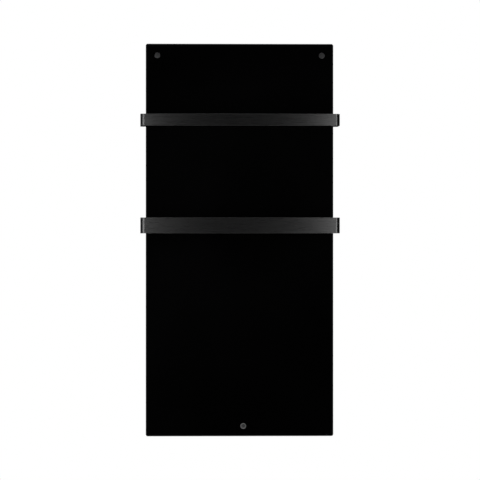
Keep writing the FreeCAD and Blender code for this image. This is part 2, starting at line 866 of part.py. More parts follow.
def cover_gasket():
    """A rubber frame on the rim of the box."""
    room = grown(box_outline, -box_wall)
    gasket = rounded_plate(box_outline, box_corner_radius, box_back_y, cover_front_y)
    inner_radius = box_corner_radius - box_wall
    return gasket.cut(rounded_plate(room, inner_radius, box_back_y, cover_front_y))


def control_box_cover():
    """A flat cover with a softened rim."""
    cover = rounded_plate(box_outline, box_corner_radius, cover_front_y, cover_back_y)
    cover = cover.makeFillet(cover_thickness / 2, edges_at_depth(cover, cover_back_y))
    hole = cover_screw_radius + screw_clearance
    return drilled(cover, cover_screw_places(), hole, cover_front_y, cover_back_y)


def cover_screw(x, z):
    """A screw through the cover into a corner boss."""
    head_y = cover_back_y + cover_screw_head_height
    tip_y = cover_front_y - cover_screw_bite
    return screw(cover_screw_head_radius, head_y, cover_back_y, cover_screw_radius, tip_y, x, z)


def lug_screw(x, z):
    """A screw through a lug into the pan."""
    seat_y = pan_back_y + box_lug_thickness
    head_y = seat_y + lug_screw_head_height
    tip_y = pan_inside_y - lug_screw_bite
    return screw(lug_screw_head_radius, head_y, seat_y, lug_screw_radius, tip_y, x, z)


# Push button

button_place = Vector(button_x, 0, button_z)


def button_bezel():
    """A turned bezel and barrel with a pocket for the cap and a guide for its stem."""
    pocket = button_cap_radius + slide_clearance
    guide = button_stem_radius + slide_clearance
    profile = [(pocket + bezel_bevel, bezel_front_y), (bezel_radius - bezel_bevel, bezel_front_y)]
    profile += [(bezel_radius, bezel_front_y + bezel_bevel), (bezel_radius, bezel_back_y)]
    profile += [(barrel_radius, bezel_back_y), (barrel_radius, barrel_back_y)]
    profile += [(barrel_rear_bore, barrel_back_y), (barrel_rear_bore, ledge_back_y)]
    profile += [(guide, ledge_back_y), (guide, ledge_front_y), (pocket, ledge_front_y)]
    profile += [(pocket, bezel_front_y + bezel_bevel)]
    return turned(profile, button_place, ALONG_Y)


def button_gasket():
    """A flat ring between the bezel and the glass."""
    bore = barrel_radius + thread_clearance
    outer = bezel_radius - bezel_bevel
    return tube(bore, outer, bezel_back_y, glass_front_y, button_place, ALONG_Y)


def button_nut():
    """The nut that clamps the barrel to the glass and the box."""
    bore = barrel_radius + thread_clearance
    end = box_inside_y + button_nut_height
    return hex_nut(button_nut_flats, bore, box_inside_y, end, button_place, ALONG_Y)


def button_cap():
    """The pressed cap and its stem, one turned piece."""
    edge = button_cap_radius - button_cap_bevel
    profile = [(0, cap_front_y), (edge, cap_front_y)]
    profile += [(button_cap_radius, cap_front_y + button_cap_bevel), (button_cap_radius, cap_back_y)]
    profile += [(button_stem_radius, cap_back_y), (button_stem_radius, stem_end_y), (0, stem_end_y)]
    return turned(profile, button_place, ALONG_Y)


def button_clip():
    """A retaining ring on the stem, which stops the cap at rest."""
    bore = button_stem_radius + thread_clearance
    return tube(bore, button_clip_radius, ledge_back_y, clip_back_y, button_place, ALONG_Y)


def coil_point(angle, rise):
    """A point on the coil and the way it runs there, for a given rise in each radian."""
    point = Vector(spring_radius * cos(angle), spring_radius * sin(angle), rise * angle)
    way = Vector(-spring_radius * sin(angle), spring_radius * cos(angle), rise)
    return point, way.normalize()


def coil_arcs(start, leaving, end, arriving):
    """Two tangent arcs between two points of the coil, with equal legs at both ends."""
    chord = end - start
    turn = 1 - leaving.dot(arriving)
    along = chord.dot(leaving + arriving)
    leg = (sqrt(along**2 + 2 * turn * chord.dot(chord)) - along) / (2 * turn)
    first = start + leaving * leg
    second = end - arriving * leg
    joint = (first + second) / 2
    return [tangent_arc(start, first, joint), tangent_arc(joint, second, end)]


def tangent_arc(start, corner, end):
    """The arc between the ends of two equal legs of a corner."""
    back = (start - corner).normalize()
    onward = (end - corner).normalize()
    half_turn = (pi - back.getAngle(onward)) / 2
    radius = (start - corner).Length / tan(half_turn)
    middle = corner + (back + onward).normalize() * (radius / cos(half_turn) - radius)
    return Part.Arc(start, middle, end).toShape()


def button_spring():
    """A coil spring round the stem, between the cap and the ledge, two arcs to each quarter turn."""
    height = ledge_front_y - cap_back_y - 2 * (spring_wire_radius + thread_clearance)
    rise = height / (2 * pi * spring_turns)
    stations = [coil_point(quarter * pi / 2, rise) for quarter in range(4 * spring_turns + 1)]
    arcs = []
    for station, after in zip(stations, stations[1:]):
        arcs += coil_arcs(*station, *after)
    ring = Part.Wire(Part.makeCircle(spring_wire_radius, *stations[0]))
    spring = Part.Wire(arcs).makePipeShell([ring], True, False)
    low_y = cap_back_y + spring_wire_radius + thread_clearance
    turn = FreeCAD.Rotation(ALONG_Z, ALONG_Y)
    spring.Placement = FreeCAD.Placement(button_place + ALONG_Y * low_y, turn)
    return spring


def switch_blade_depths():
    """The depth of the middle of each switch blade."""
    middle = barrel_back_y + switch_length / 2
    return [middle + side * switch_blade_spread / 2 for side in SIDES]


def button_switch():
    """The switch block behind the barrel, with a pin inside it and two side blades."""
    back_y = barrel_back_y + switch_length
    pin_y = stem_end_y + button_travel + switch_pin_gap
    profile = [(0, pin_y), (switch_pin_radius, pin_y), (switch_pin_radius, barrel_back_y)]
    profile += [(barrel_radius, barrel_back_y), (barrel_radius, back_y), (0, back_y)]
    switch = turned(profile, button_place, ALONG_Y)
    tip_x = button_x - barrel_radius - switch_blade_reach
    half_width = switch_blade_width / 2
    for y in switch_blade_depths():
        y_range = (y - switch_blade_sheet / 2, y + switch_blade_sheet / 2)
        z_range = (button_z - half_width, button_z + half_width)
        switch = switch.fuse(block((tip_x, button_x), y_range, z_range))
    return switch.removeSplitter()


# Terminals, leads and cable gland


def terminal_block():
    """A three-pole block with a slot between poles and a recess for each screw."""
    half_height = terminal_height / 2
    back_y = box_inside_y + terminal_depth
    x_range = (terminal_x - terminal_width / 2, terminal_x + terminal_width / 2)
    z_range = (button_z - half_height, button_z + half_height)
    body = block(x_range, (box_inside_y, back_y), z_range)
    poles = terminal_places()
    for left, right in zip(poles, poles[1:]):
        middle = (left + right) / 2
        slot_x = (middle - terminal_slot / 2, middle + terminal_slot / 2)
        body = body.cut(block(slot_x, (back_y - terminal_slot_depth, back_y), z_range))
    places = [(x, button_z) for x in poles]
    recess = terminal_screw_radius + thread_clearance
    return drilled(body, places, recess, back_y - terminal_recess, back_y)


def terminal_screw(x):
    """A clamping screw at the bottom of its recess."""
    start = Vector(x, box_inside_y + terminal_depth - terminal_recess, button_z)
    return Part.makeCylinder(terminal_screw_radius, terminal_screw_length, start, ALONG_Y)


def lead_rise(pole):
    """The first points of a lead: out of its pole, then in line with the grommet."""
    pole_x = terminal_places()[pole]
    grommet_x = terminal_x + (pole - 1) * lead_pitch
    block_z = button_z + terminal_height / 2
    turn_z = box_top_z - box_wall - grommet_flange - lead_straight
    points = [Vector(pole_x, lead_y, block_z)]
    if pole_x != grommet_x:
        points += [Vector(pole_x, lead_y, block_z + lead_straight), Vector(grommet_x, lead_y, turn_z)]
    return points


def lead_live():
    """From the left pole to the left cut-out."""
    rise = lead_rise(0)
    end_x = -cutout_x + cutout_blade_reach
    return lead(rise + [Vector(rise[-1].x, lead_y, cutout_z), Vector(end_x, lead_y, cutout_z)])


def lead_neutral():
    """From the right pole to the right cut-out."""
    rise = lead_rise(2)
    end_x = cutout_x - cutout_blade_reach
    return lead(rise + [Vector(rise[-1].x, lead_y, cutout_z), Vector(end_x, lead_y, cutout_z)])


def lead_earth():
    """From the middle pole to the earth screw inside the pan."""
    end_y = pan_inside_y - earth_screw_height
    points = lead_rise(1) + [Vector(terminal_x, lead_y, earth_z), Vector(terminal_x, end_y, earth_z)]
    return lead(points)


def cutout_lead(side):
    """From the outer blade of a cut-out to the tab of the track."""
    tab_z = film_outline[2] + track_margin + tab_length + tab_sheet / 2
    start = Vector(side * (cutout_x + cutout_blade_reach), lead_y, cutout_z)
    corner = Vector(side * track_end_x, lead_y, cutout_z)
    return lead([start, corner, Vector(side * track_end_x, lead_y, tab_z)])


def switch_lead(y):
    """From a blade of the switch to the side of the terminal block."""
    start = Vector(terminal_x + terminal_width / 2, y, button_z)
    end_x = button_x - barrel_radius - switch_blade_reach
    return Part.makeCylinder(lead_radius, end_x - start.x, start, ALONG_X)


def earth_screw():
    """The earth screw on the inside of the pan."""
    start = Vector(terminal_x, pan_inside_y - earth_screw_height, earth_z)
    return Part.makeCylinder(earth_screw_radius, earth_screw_height, start, ALONG_Y)


def wire_grommet():
    """A rubber sleeve from the box into the pan, with a flange at each end."""
    low = box_top_z - box_wall
    high = room_outline[2]
    sleeve = grommet_radius - thread_clearance
    profile = [(grommet_bore, low - grommet_flange), (grommet_flange_radius, low - grommet_flange)]
    profile += [(grommet_flange_radius, low), (sleeve, low), (sleeve, high)]
    profile += [(grommet_flange_radius, high), (grommet_flange_radius, high + grommet_flange)]
    profile += [(grommet_bore, high + grommet_flange)]
    return turned(profile, Vector(terminal_x, lead_y, 0), ALONG_Z)


gland_place = Vector(0, gland_y, gland_z)


def gland_body():
    """A hollow threaded body with a hexagon, counterbored for its seal."""
    tail_x = gland_wall_x - box_wall - gland_tail_length
    front_x = gland_shoulder_x + gland_front_length
    seal_x = front_x - gland_seal_length
    profile = [(0, tail_x), (gland_thread_radius, tail_x)]
    profile += [(gland_thread_radius, front_x), (0, front_x)]
    body = turned(profile, gland_place, ALONG_X)
    hexagon = hex_prism(gland_hex_flats, gland_hex_x, gland_shoulder_x, gland_place, ALONG_X)
    body = body.fuse(hexagon)
    bore = [(0, tail_x), (gland_bore, tail_x), (gland_bore, seal_x)]
    bore += [(gland_seal_radius, seal_x), (gland_seal_radius, front_x), (0, front_x)]
    return body.cut(turned(bore, gland_place, ALONG_X))


def gland_washer():
    """A flat sealing ring between the hexagon and the box."""
    bore = gland_thread_radius + screw_clearance
    outer = gland_hex_flats / 2
    return tube(bore, outer, gland_wall_x, gland_hex_x, gland_place, ALONG_X)


def gland_seal():
    """The rubber sleeve that grips the cable."""
    front_x = gland_shoulder_x + gland_front_length
    outer = gland_seal_radius - thread_clearance
    return tube(gland_bore, outer, front_x - gland_seal_length, front_x, gland_place, ALONG_X)


def gland_nut():
    """A domed hexagonal nut with a round mouth."""
    start = gland_shoulder_x + seat_clearance
    end = start + gland_nut_length
    dome_x = end - gland_nut_dome
    inside_x = gland_shoulder_x + gland_front_length + seat_clearance
    corner = gland_hex_flats / sqrt(3)
    thread = gland_thread_radius + thread_clearance
    mouth_rim = gland_nut_mouth + gland_nut_wall
    shell = [(thread, start), (corner, start), (corner, dome_x), (mouth_rim, end)]
    shell += [(gland_nut_mouth, end), (gland_nut_mouth, inside_x), (thread, inside_x)]
    nut = turned(shell, gland_place, ALONG_X)
    return nut.common(hex_prism(gland_hex_flats, start, end, gland_place, ALONG_X))


def gland_locknut():
    """The nut that holds the gland from inside the box."""
    end = gland_wall_x - box_wall
    start = end - gland_locknut_height
    bore = gland_thread_radius + thread_clearance
    return hex_nut(gland_hex_flats, bore, start, end, gland_place, ALONG_X)


def group(make, places):
    """Several like pieces, each its own solid, in one node."""
    return Part.makeCompound([make(*place) for place in places])


def nodes():
    """Every node of the heater by name."""
    fixings = mirrored_places(fixing_x, fixing_z)
    spacers = mirrored_places(spacer_x, spacer_z)
    rail_screws = rail_screw_places()
    pads = [(side, z, height) for z, height in rail_sizes.values() for side in SIDES]
    return {
        "wall_rail": wall_rail(),
        "glass_panel": glass_panel(),
        "fixing_caps": group(fixing_cap, fixings),
        "fixing_bushes": group(fixing_bush, fixings),
        "fixing_washers": group(fixing_washer, fixings),
        "fixing_nuts": group(fixing_nut, fixings),
        "back_pan": back_pan(),
        "pan_seal": pan_seal(),
        "heating_film": element_sheet(film_outline, glass_back_y, track_front_y),
        "heating_track": heating_track(),
        "element_tabs": group(element_tab, [(side,) for side in SIDES]),
        "mica_sheet": element_sheet(sheet_outline, track_back_y, mica_back_y),
        "reflector_foil": element_sheet(sheet_outline, mica_back_y, foil_back_y),
        "insulation_board": insulation_board(),
        "thermal_cutouts": group(thermal_cutout, [(side * cutout_x,) for side in SIDES]),
        "hanger_rail": hanger_rail(),
        "hanger_rivets": group(hanger_rivet, rivet_places()),
        "wall_spacers": group(wall_spacer, spacers),
        "spacer_pads": group(spacer_pad, spacers),
        "spacer_screws": group(spacer_screw, spacers),
        "towel_rail_upper": towel_rail(*rail_sizes["upper"]),
        "towel_rail_lower": towel_rail(*rail_sizes["lower"]),
        "rail_pads": group(rail_pad, pads),
        "rail_screws": group(rail_screw, rail_screws),
        "rail_washers": group(rail_washer, rail_screws),
        "rivet_nuts": group(rivet_nut, rail_screws),
        "control_box": control_box(),
        "cover_gasket": cover_gasket(),
        "control_box_cover": control_box_cover(),
        "cover_screws": group(cover_screw, cover_screw_places()),
        "lug_screws": group(lug_screw, lug_places()),
        "button_bezel": button_bezel(),
        "button_gasket": button_gasket(),
        "button_nut": button_nut(),
        "button_cap": button_cap(),
        "button_clip": button_clip(),
        "button_spring": button_spring(),
        "button_switch": button_switch(),
        "switch_leads": group(switch_lead, [(y,) for y in switch_blade_depths()]),
        "terminal_block": terminal_block(),
        "terminal_screws": group(terminal_screw, [(x,) for x in terminal_places()]),
        "lead_live": lead_live(),
        "lead_neutral": lead_neutral(),
        "lead_earth": lead_earth(),
        "cutout_leads": group(cutout_lead, [(side,) for side in SIDES]),
        "earth_screw": earth_screw(),
        "wire_grommet": wire_grommet(),
        "gland_body": gland_body(),
        "gland_washer": gland_washer(),
        "gland_seal": gland_seal(),
        "gland_nut": gland_nut(),
        "gland_locknut": gland_locknut(),
    }


os.makedirs("parts", exist_ok=True)
for name, shape in nodes().items():
    shape.exportStep(f"parts/{name}.step")
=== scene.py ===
import json
from math import atan2, cos, pi, radians, sin, tan

import bmesh
import bpy
from bpy.props import FloatProperty, FloatVectorProperty, PointerProperty
from mathutils import Matrix, Vector


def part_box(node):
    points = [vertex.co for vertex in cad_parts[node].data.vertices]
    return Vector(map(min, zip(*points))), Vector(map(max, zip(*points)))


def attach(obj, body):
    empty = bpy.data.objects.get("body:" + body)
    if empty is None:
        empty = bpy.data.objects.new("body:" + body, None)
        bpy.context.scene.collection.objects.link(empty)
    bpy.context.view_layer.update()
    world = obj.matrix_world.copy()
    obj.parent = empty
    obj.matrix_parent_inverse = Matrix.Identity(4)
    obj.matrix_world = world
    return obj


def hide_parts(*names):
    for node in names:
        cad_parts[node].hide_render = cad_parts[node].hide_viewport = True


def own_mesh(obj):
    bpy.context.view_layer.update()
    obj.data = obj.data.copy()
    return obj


bl_info = {
    "name": "Glass panel heater",
    "version": (1, 0, 0),
    "blender": (4, 5, 0),
    "location": "View3D > Sidebar > Heater",
    "description": "Finishes a wall-hung glass heater with towel rails and sets its studio",
    "category": "Object",
}

# The frame: metres, X to the right, Z up, the wall at Y = 0 and the glass facing -Y.
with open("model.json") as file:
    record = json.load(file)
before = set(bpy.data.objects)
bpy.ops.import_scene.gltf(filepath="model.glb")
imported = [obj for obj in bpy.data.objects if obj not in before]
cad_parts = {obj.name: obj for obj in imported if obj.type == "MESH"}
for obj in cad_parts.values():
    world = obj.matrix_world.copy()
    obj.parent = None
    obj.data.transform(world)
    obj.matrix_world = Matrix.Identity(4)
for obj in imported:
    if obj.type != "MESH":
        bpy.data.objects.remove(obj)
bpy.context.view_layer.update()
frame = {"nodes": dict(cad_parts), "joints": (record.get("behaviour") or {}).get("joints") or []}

ALONG_Y = Vector((0, 1, 0))
ALONG_Z = Vector((0, 0, 1))
WHITE = (1.0, 1.0, 1.0)
MM = 0.001
NEAR = 0.01 * MM  # sizes this close count as the same
DIGITS = 5  # sizes read from the frame are rounded to 0.01 mm
WELD = 1e-7  # corners this close are joined in new meshes
CAD_WELD = 1e-6  # and in meshes from the frame
CREASE = radians(32)  # edges sharper than this are shaded as edges
PICTURE_PIXELS = 480
AIM_SHIFT_PIXELS = 0.4  # how far to the right of the middle of the glass the camera aims

glass_low, glass_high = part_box("glass_panel")
glass_middle = (glass_low + glass_high) / 2


# Sizes and colours that a user would change


def number(name, description, default, **kind):
    """A number property that is never negative."""
    return FloatProperty(name=name, description=description, default=default, min=0, **kind)


def length(name, description, default):
    """A length property in metres."""
    return number(name, description, default, precision=5, subtype="DISTANCE", unit="LENGTH")


def share(name, description, default):
    """A property between nought and one."""
    return number(name, description, default, max=1, subtype="FACTOR")


def power(name, description, default):
    """The power of a light in watts."""
    return number(name, description, default, subtype="POWER", unit="POWER")


def colour(name, description, *default):
    """A colour property."""
    return FloatVectorProperty(
        name=name, description=description, default=default, size=3, min=0, max=1, subtype="COLOR"
    )


class GlassSettings(bpy.types.PropertyGroup):
    """The black glass front."""

    face: colour("Face", "Colour of the enamel behind the glass", 0.0006, 0.0006, 0.00064)
    line: colour("Edge line", "Colour of the faint line inside the edge", 0.0016, 0.0016, 0.0017)
    edge: colour("Ground edge", "Colour of the ground and polished edge", 0.0005, 0.0009, 0.0008)
    line_inset: length("Line inset", "Distance of the faint line from the edge", 5 * MM)
    line_width: length("Line width", "Width of the faint line", 2.5 * MM)
    gloss: share("Roughness", "Roughness of the polished face", 0.03)


class RailSettings(bpy.types.PropertyGroup):
    """The two towel rails."""

    paint: colour("Paint", "Colour of the satin black coat", 0.0014, 0.0014, 0.0015)
    roughness: share("Roughness", "Roughness of the satin black coat", 0.28)
    edge: length("Edge radius", "Radius of the long edges", 0.6 * MM)


class MetalSettings(bpy.types.PropertyGroup):
    """Caps, button and fasteners."""

    cap: colour("Glass fixings", "Colour of the two round caps", 0.054, 0.054, 0.055)
    bezel: colour("Button bezel", "Colour of the ring round the button", 0.26, 0.26, 0.262)
    button: colour("Button", "Colour of the button", 0.005, 0.005, 0.0052)
    mark: colour("Standby mark", "Colour of the mark on the button", 0.22, 0.22, 0.22)
    zinc: colour("Zinc plate", "Colour of the plated steel", 0.62, 0.63, 0.65)
    copper: colour("Copper", "Colour of the bare copper", 0.72, 0.4, 0.24)
    foil: colour("Foil", "Colour of the reflector foil", 0.82, 0.82, 0.83)


class BackSettings(bpy.types.PropertyGroup):
    """The pan and the moulded pieces behind the glass."""

    pan: colour("Pan", "Colour of the powder-coated pan", 0.36, 0.37, 0.38)
    plastic: colour("Black plastic", "Colour of the box, gland and spacers", 0.022, 0.022, 0.024)
    rubber: colour("Rubber", "Colour of seals and pads", 0.016, 0.016, 0.016)
    nylon: colour("Nylon", "Colour of the bushes", 0.68, 0.67, 0.62)
    terminal: colour("Terminals", "Colour of the terminal block", 0.8, 0.8, 0.77)


class ElementSettings(bpy.types.PropertyGroup):
    """The heating element and its leads."""

    film: colour("Film", "Colour of the carrier film", 0.5, 0.27, 0.05)
    mica: colour("Mica", "Colour of the mica sheet", 0.55, 0.47, 0.32)
    board: colour("Board", "Colour of the mineral board", 0.74, 0.71, 0.62)
    cutout: colour("Cut-outs", "Colour of the cut-out bodies", 0.1, 0.07, 0.05)
    live: colour("Live", "Colour of the brown leads", 0.16, 0.06, 0.025)
    neutral: colour("Neutral", "Colour of the blue lead", 0.03, 0.11, 0.42)
    earth: colour("Earth", "First colour of the earth lead", 0.1, 0.36, 0.05)
    stripe: colour("Earth stripe", "Second colour of the earth lead", 0.75, 0.62, 0.03)


class StageSettings(bpy.types.PropertyGroup):
    """Floor, light and camera."""

    floor: colour("Floor", "Colour of the plain floor", 0.86, 0.86, 0.855)
    floor_glow: share("Floor glow", "Light that the floor gives back by itself", 0.35)
    floor_drop: length("Floor drop", "Height of the glass above the floor", 0.32)
    floor_radius: length("Floor radius", "Radius of the floor", 2.3)
    camera_distance: length("Camera distance", "Distance from the camera to the glass", 8.0)
    picture_width: length("Picture width", "Width of the picture at the glass", 1.2236)
    orbit: FloatProperty(
        name="Orbit",
        description="How far the camera stands to the left",
        default=radians(1.8),
        subtype="ANGLE",
        unit="ROTATION",
    )
    left_power: power("Left light", "Power of the left softbox", 2.9)
    right_power: power("Right light", "Power of the right softbox", 2.25)
    left_side_power: power("Left side light", "Power of the softbox far to the left", 3.0)
    right_side_power: power("Right side light", "Power of the softbox far to the right", 0.4)
    top_power: power("Top light", "Power of the softbox above", 12)
    back_key_power: power("Back key light", "Power of the stronger softbox behind", 24)
    back_fill_power: power("Back fill light", "Power of the weaker softbox behind", 8)


class HeaterSettings(bpy.types.PropertyGroup):
    """Everything that can be changed on the heater."""

    glass: PointerProperty(type=GlassSettings)
    rails: PointerProperty(type=RailSettings)
    metal: PointerProperty(type=MetalSettings)
    back: PointerProperty(type=BackSettings)
    element: PointerProperty(type=ElementSettings)
    stage: PointerProperty(type=StageSettings)


# Shader expressions


class Wire:
    """A shader output that takes part in Python expressions."""

    def __init__(self, socket):
        self.socket = socket

    def node(self, kind, settings, inputs, output=0):
        """Adds a node to the same tree: its settings first, then its inputs as links or values."""
        tree = self.socket.id_data
        made = tree.nodes.new("ShaderNode" + kind)
        for name, value in settings.items():
            if name == "stops":
                set_stops(made.color_ramp, value)
            else:
                setattr(made, name, value)
        for name, value in inputs.items():
            if isinstance(value, Wire):
                tree.links.new(value.socket, made.inputs[name])
            else:
                made.inputs[name].default_value = value
        return Wire(made.outputs[output]) if made.outputs else None

    def math(self, operation, first, second=0.0):
        """One Math node."""
        return self.node("Math", {"operation": operation}, {0: first, 1: second})

    def __add__(self, other):
        return self.math("ADD", self, other)

    __radd__ = __add__

    def __sub__(self, other):
        return self.math("SUBTRACT", self, other)

    def __rsub__(self, other):
        return self.math("SUBTRACT", other, self)

    def __mul__(self, other):
        return self.math("MULTIPLY", self, other)

    __rmul__ = __mul__

    def __pow__(self, other):
        return self.math("POWER", self, other)

    def __abs__(self):
        return self.math("ABSOLUTE", self)


def set_stops(ramp, stops):
    """Gives a colour ramp its stops as pairs of position and grey value."""
    while len(ramp.elements) < len(stops):
        ramp.elements.new(1)
    for element, (position, grey) in zip(ramp.elements, stops):
        element.position = position
        element.color = (grey, grey, grey, 1)


def rgba(tint, gain=1.0):
    """A colour property as a socket value, made lighter or darker by a gain."""
    return (*(min(part * gain, 1.0) for part in tint), 1.0)


def begin(owner, kind, output):
    """Empties the node tree of a material, world or light and returns an output of its first node."""
    owner.use_nodes = True
    nodes = owner.node_tree.nodes
    nodes.clear()
    return Wire(nodes.new("ShaderNode" + kind).outputs[output])


def surface(name):
    """A new material and the object coordinates of its surface."""
    material = bpy.data.materials.new(name)
    return material, begin(material, "TexCoord", "Object")


def shade(place, inputs):
    """Ends a material in one Principled shader."""
    shader = place.node("BsdfPrincipled", {}, inputs)
    place.node("OutputMaterial", {}, {"Surface": shader})


def parts_of(place):
    """The three coordinates of a place."""
    return [place.node("SeparateXYZ", {}, {0: place}, axis) for axis in range(3)]


def stretched(place, *scale):
    """A place with its three coordinates scaled apart."""
    return place.node("Mapping", {}, {"Vector": place, "Scale": scale})


def noise(place, scale, detail):
    """Soft noise about one half, with so many waves in a metre."""
    return place.node("TexNoise", {}, {"Vector": place, "Scale": scale, "Detail": detail})


def cells(place, feature, scale, output="Distance"):
    """Cell noise, with so many cells in a metre."""
    return place.node("TexVoronoi", {"feature": feature}, {"Vector": place, "Scale": scale}, output)


def flakes(place, scale):
    """A value of its own for each cell, with so many cells in a metre."""
    tint = cells(place, "F1", scale, "Color")
    return tint.node("SeparateColor", {}, {0: tint})


def ramp(value, *stops):
    """A value passed through a ramp of greys."""
    return value.node("ValToRGB", {"stops": stops}, {"Fac": value})


def step(value, start, end):
    """Nought below the start, one above the end, and smooth between them."""
    settings = {"interpolation_type": "SMOOTHSTEP"}
    return value.node("MapRange", settings, {"Value": value, "From Min": start, "From Max": end})


def mix(share_of_second, first, second):
    """Two colours mixed by a value."""
    inputs = {0: share_of_second, 6: first, 7: second}
    return share_of_second.node("Mix", {"data_type": "RGBA"}, inputs, 2)


def tones(value, tint, darkest, palest):
    """A colour made darker or paler by a value."""
    return mix(value, rgba(tint, darkest), rgba(tint, palest))


def bump(height, depth, strength=1.0):
    """The normal of a surface raised by a height of nought to one."""
    return height.node("Bump", {}, {"Height": height, "Distance": depth, "Strength": strength})


# Finishes


def black_glass(settings):
    """Polished glass with black enamel behind it, a faint line inside its edge and a dull back."""
    material, place = surface("black_glass")
    x, y, z = parts_of(place)
    from_side = glass_high.x - abs(x)
    from_end = (glass_high.z - glass_low.z) / 2 - abs(z - glass_middle.z)
    inset = place.math("MINIMUM", from_side, from_end)
    width, back = settings.line_width, glass_high.y
    line = 1 - step(abs(inset - settings.line_inset), start=width * 0.3, end=width)
    rim = 1 - step(inset, start=0.1 * MM, end=0.9 * MM)
    behind = step(y, start=back - 0.2 * MM, end=back - 0.05 * MM)
    cloud = noise(place, scale=3.0, detail=3.0)
    smear = noise(place, scale=24.0, detail=4.0)
    face = tones(ramp(cloud, (0.35, 0), (0.7, 1)), settings.face, darkest=0.5, palest=1.8)
    face = mix(line, face, rgba(settings.line))
    face = mix(rim, face, rgba(settings.edge))
    dull_back, ground_rim = 0.4, 0.05
    roughness = settings.gloss * (0.6 + smear * 0.8) + behind * dull_back + rim * ground_rim
    shade(place, {"Base Color": face, "Roughness": roughness, "IOR": 1.5})
    return material


def powder_coat(name, tint, roughness):
    """Baked powder paint: a fine orange peel, faint clouds and a few rubbed patches."""
    material, place = surface(name)
    peel = noise(place, scale=800.0, detail=2.0)
    cloud = noise(place, scale=9.0, detail=3.0)
    rubbed = ramp(noise(place, scale=40.0, detail=5.0), (0.55, 0), (0.8, 1))
    paint = tones(cloud, tint, darkest=0.86, palest=1.14)
    paint = mix(rubbed * 0.25, paint, rgba(tint, gain=1.5))
    gloss = roughness * (0.86 + cloud * 0.28) - rubbed * 0.04
    normal = bump(peel, depth=0.04 * MM)
    shade(place, {"Base Color": paint, "Roughness": gloss, "Normal": normal})
    return material


def satin_bar(settings):
    """Satin black on drawn bar, with fine marks that run along it and round its bends."""
    material, place = surface("satin_black")
    marks = noise(stretched(place, 9.0, 9.0, 420.0), scale=1.0, detail=5.0)
    grain = noise(stretched(place, 24.0, 24.0, 760.0), scale=1.0, detail=3.0)
    peel = noise(place, scale=1400.0, detail=2.0)
    cloud = noise(place, scale=5.0, detail=2.0)
    paint = tones(marks, settings.paint, darkest=0.5, palest=1.5)
    gloss = settings.roughness * (0.78 + marks * 0.12 + cloud * 0.08 + grain * 0.24)
    normal = bump(marks * 0.7 + peel * 0.3, depth=0.004 * MM)
    inputs = {"Base Color": paint, "Roughness": gloss, "Normal": normal}
    shade(place, inputs | {"Specular IOR Level": 0.8})
    return material


def turned_metal(name, tint, centre, roughness):
    """Satin plated metal with turning marks round a centre, mirrored if it lies far to the right."""
    material, place = surface(name)
    x, _, z = parts_of(place)
    across = abs(x) - centre.x if centre.x > glass_high.x / 2 else x - centre.x
    radius = (across * across + (z - centre.z) * (z - centre.z)) ** 0.5
    inputs = {"W": radius, "Scale": 5200.0, "Detail": 3.0}
    rings = place.node("TexNoise", {"noise_dimensions": "1D"}, inputs)
    cloud = noise(place, scale=260.0, detail=3.0)
    metal = tones(rings, tint, darkest=0.72, palest=1.28)
    gloss = roughness + (rings - 0.5) * 0.2 + (cloud - 0.5) * 0.1
    normal = bump(rings, depth=0.006 * MM)
    shade(place, {"Base Color": metal, "Metallic": 1.0, "Roughness": gloss, "Normal": normal})
    return material


def zinc_plate(name, tint, roughness=0.4):
    """Zinc-plated steel: pale spangles, rolling marks and dull spots."""
    material, place = surface(name)
    spangle = flakes(place, scale=170.0)
    rolling = noise(stretched(place, 1.0, 14.0, 14.0), scale=110.0, detail=3.0)
    dull = ramp(noise(place, scale=32.0, detail=4.0), (0.45, 0), (0.75, 1))
    metal = tones(spangle * 0.6 + rolling * 0.4, tint, darkest=0.82, palest=1.16)
    gloss = roughness + spangle * 0.06 + dull * 0.1
    normal = bump(rolling, depth=0.003 * MM)
    shade(place, {"Base Color": metal, "Metallic": 1.0, "Roughness": gloss, "Normal": normal})
    return material


def moulded_plastic(name, tint, roughness=0.5):
    """Moulded plastic with a fine spark-eroded grain and soft handling marks."""
    material, place = surface(name)
    pits = cells(place, "SMOOTH_F1", scale=900.0)
    cloud = noise(place, scale=18.0, detail=4.0)
    plastic = tones(cloud, tint, darkest=0.85, palest=1.18)
    gloss = roughness * (0.85 + cloud * 0.3)
    normal = bump(pits, depth=0.03 * MM, strength=0.6)
    shade(place, {"Base Color": plastic, "Roughness": gloss, "Normal": normal})
    return material


def soft_rubber(name, tint, roughness=0.75):
    """Dull rubber with a bloom of paler dust."""
    material, place = surface(name)
    bloom = ramp(noise(place, scale=60.0, detail=5.0), (0.4, 0), (0.8, 1))
    grain = noise(place, scale=1500.0, detail=2.0)
    tone = tones(bloom, tint, darkest=1.0, palest=2.2)
    gloss = roughness + bloom * 0.12
    normal = bump(grain, depth=0.02 * MM)
    shade(place, {"Base Color": tone, "Roughness": gloss, "Normal": normal})
    return material


def bare_copper(name, tint):
    """Etched copper with browner patches."""
    material, place = surface(name)
    patch = noise(place, scale=45.0, detail=4.0)
    tone = mix(ramp(patch, (0.4, 0), (0.7, 1)), rgba(tint), rgba(tint, gain=0.62))
    gloss = 0.26 + patch * 0.2
    shade(place, {"Base Color": tone, "Metallic": 1.0, "Roughness": gloss})
    return material


def crinkled_foil(name, tint):
    """Bright foil with crinkles, its colour darkened along the creases as painted shade."""
    material, place = surface(name)
    creases = cells(place, "DISTANCE_TO_EDGE", scale=55.0)
    # Painted shade: the colour is darker along the creases, where the folds would shade the foil.
    tone = tones(creases, tint, darkest=0.8, palest=1.0)
    gloss = 0.16 + creases * 0.2
    normal = bump(ramp(creases, (0, 1), (0.2, 0)), depth=0.15 * MM)
    shade(place, {"Base Color": tone, "Metallic": 1.0, "Roughness": gloss, "Normal": normal})
    return material


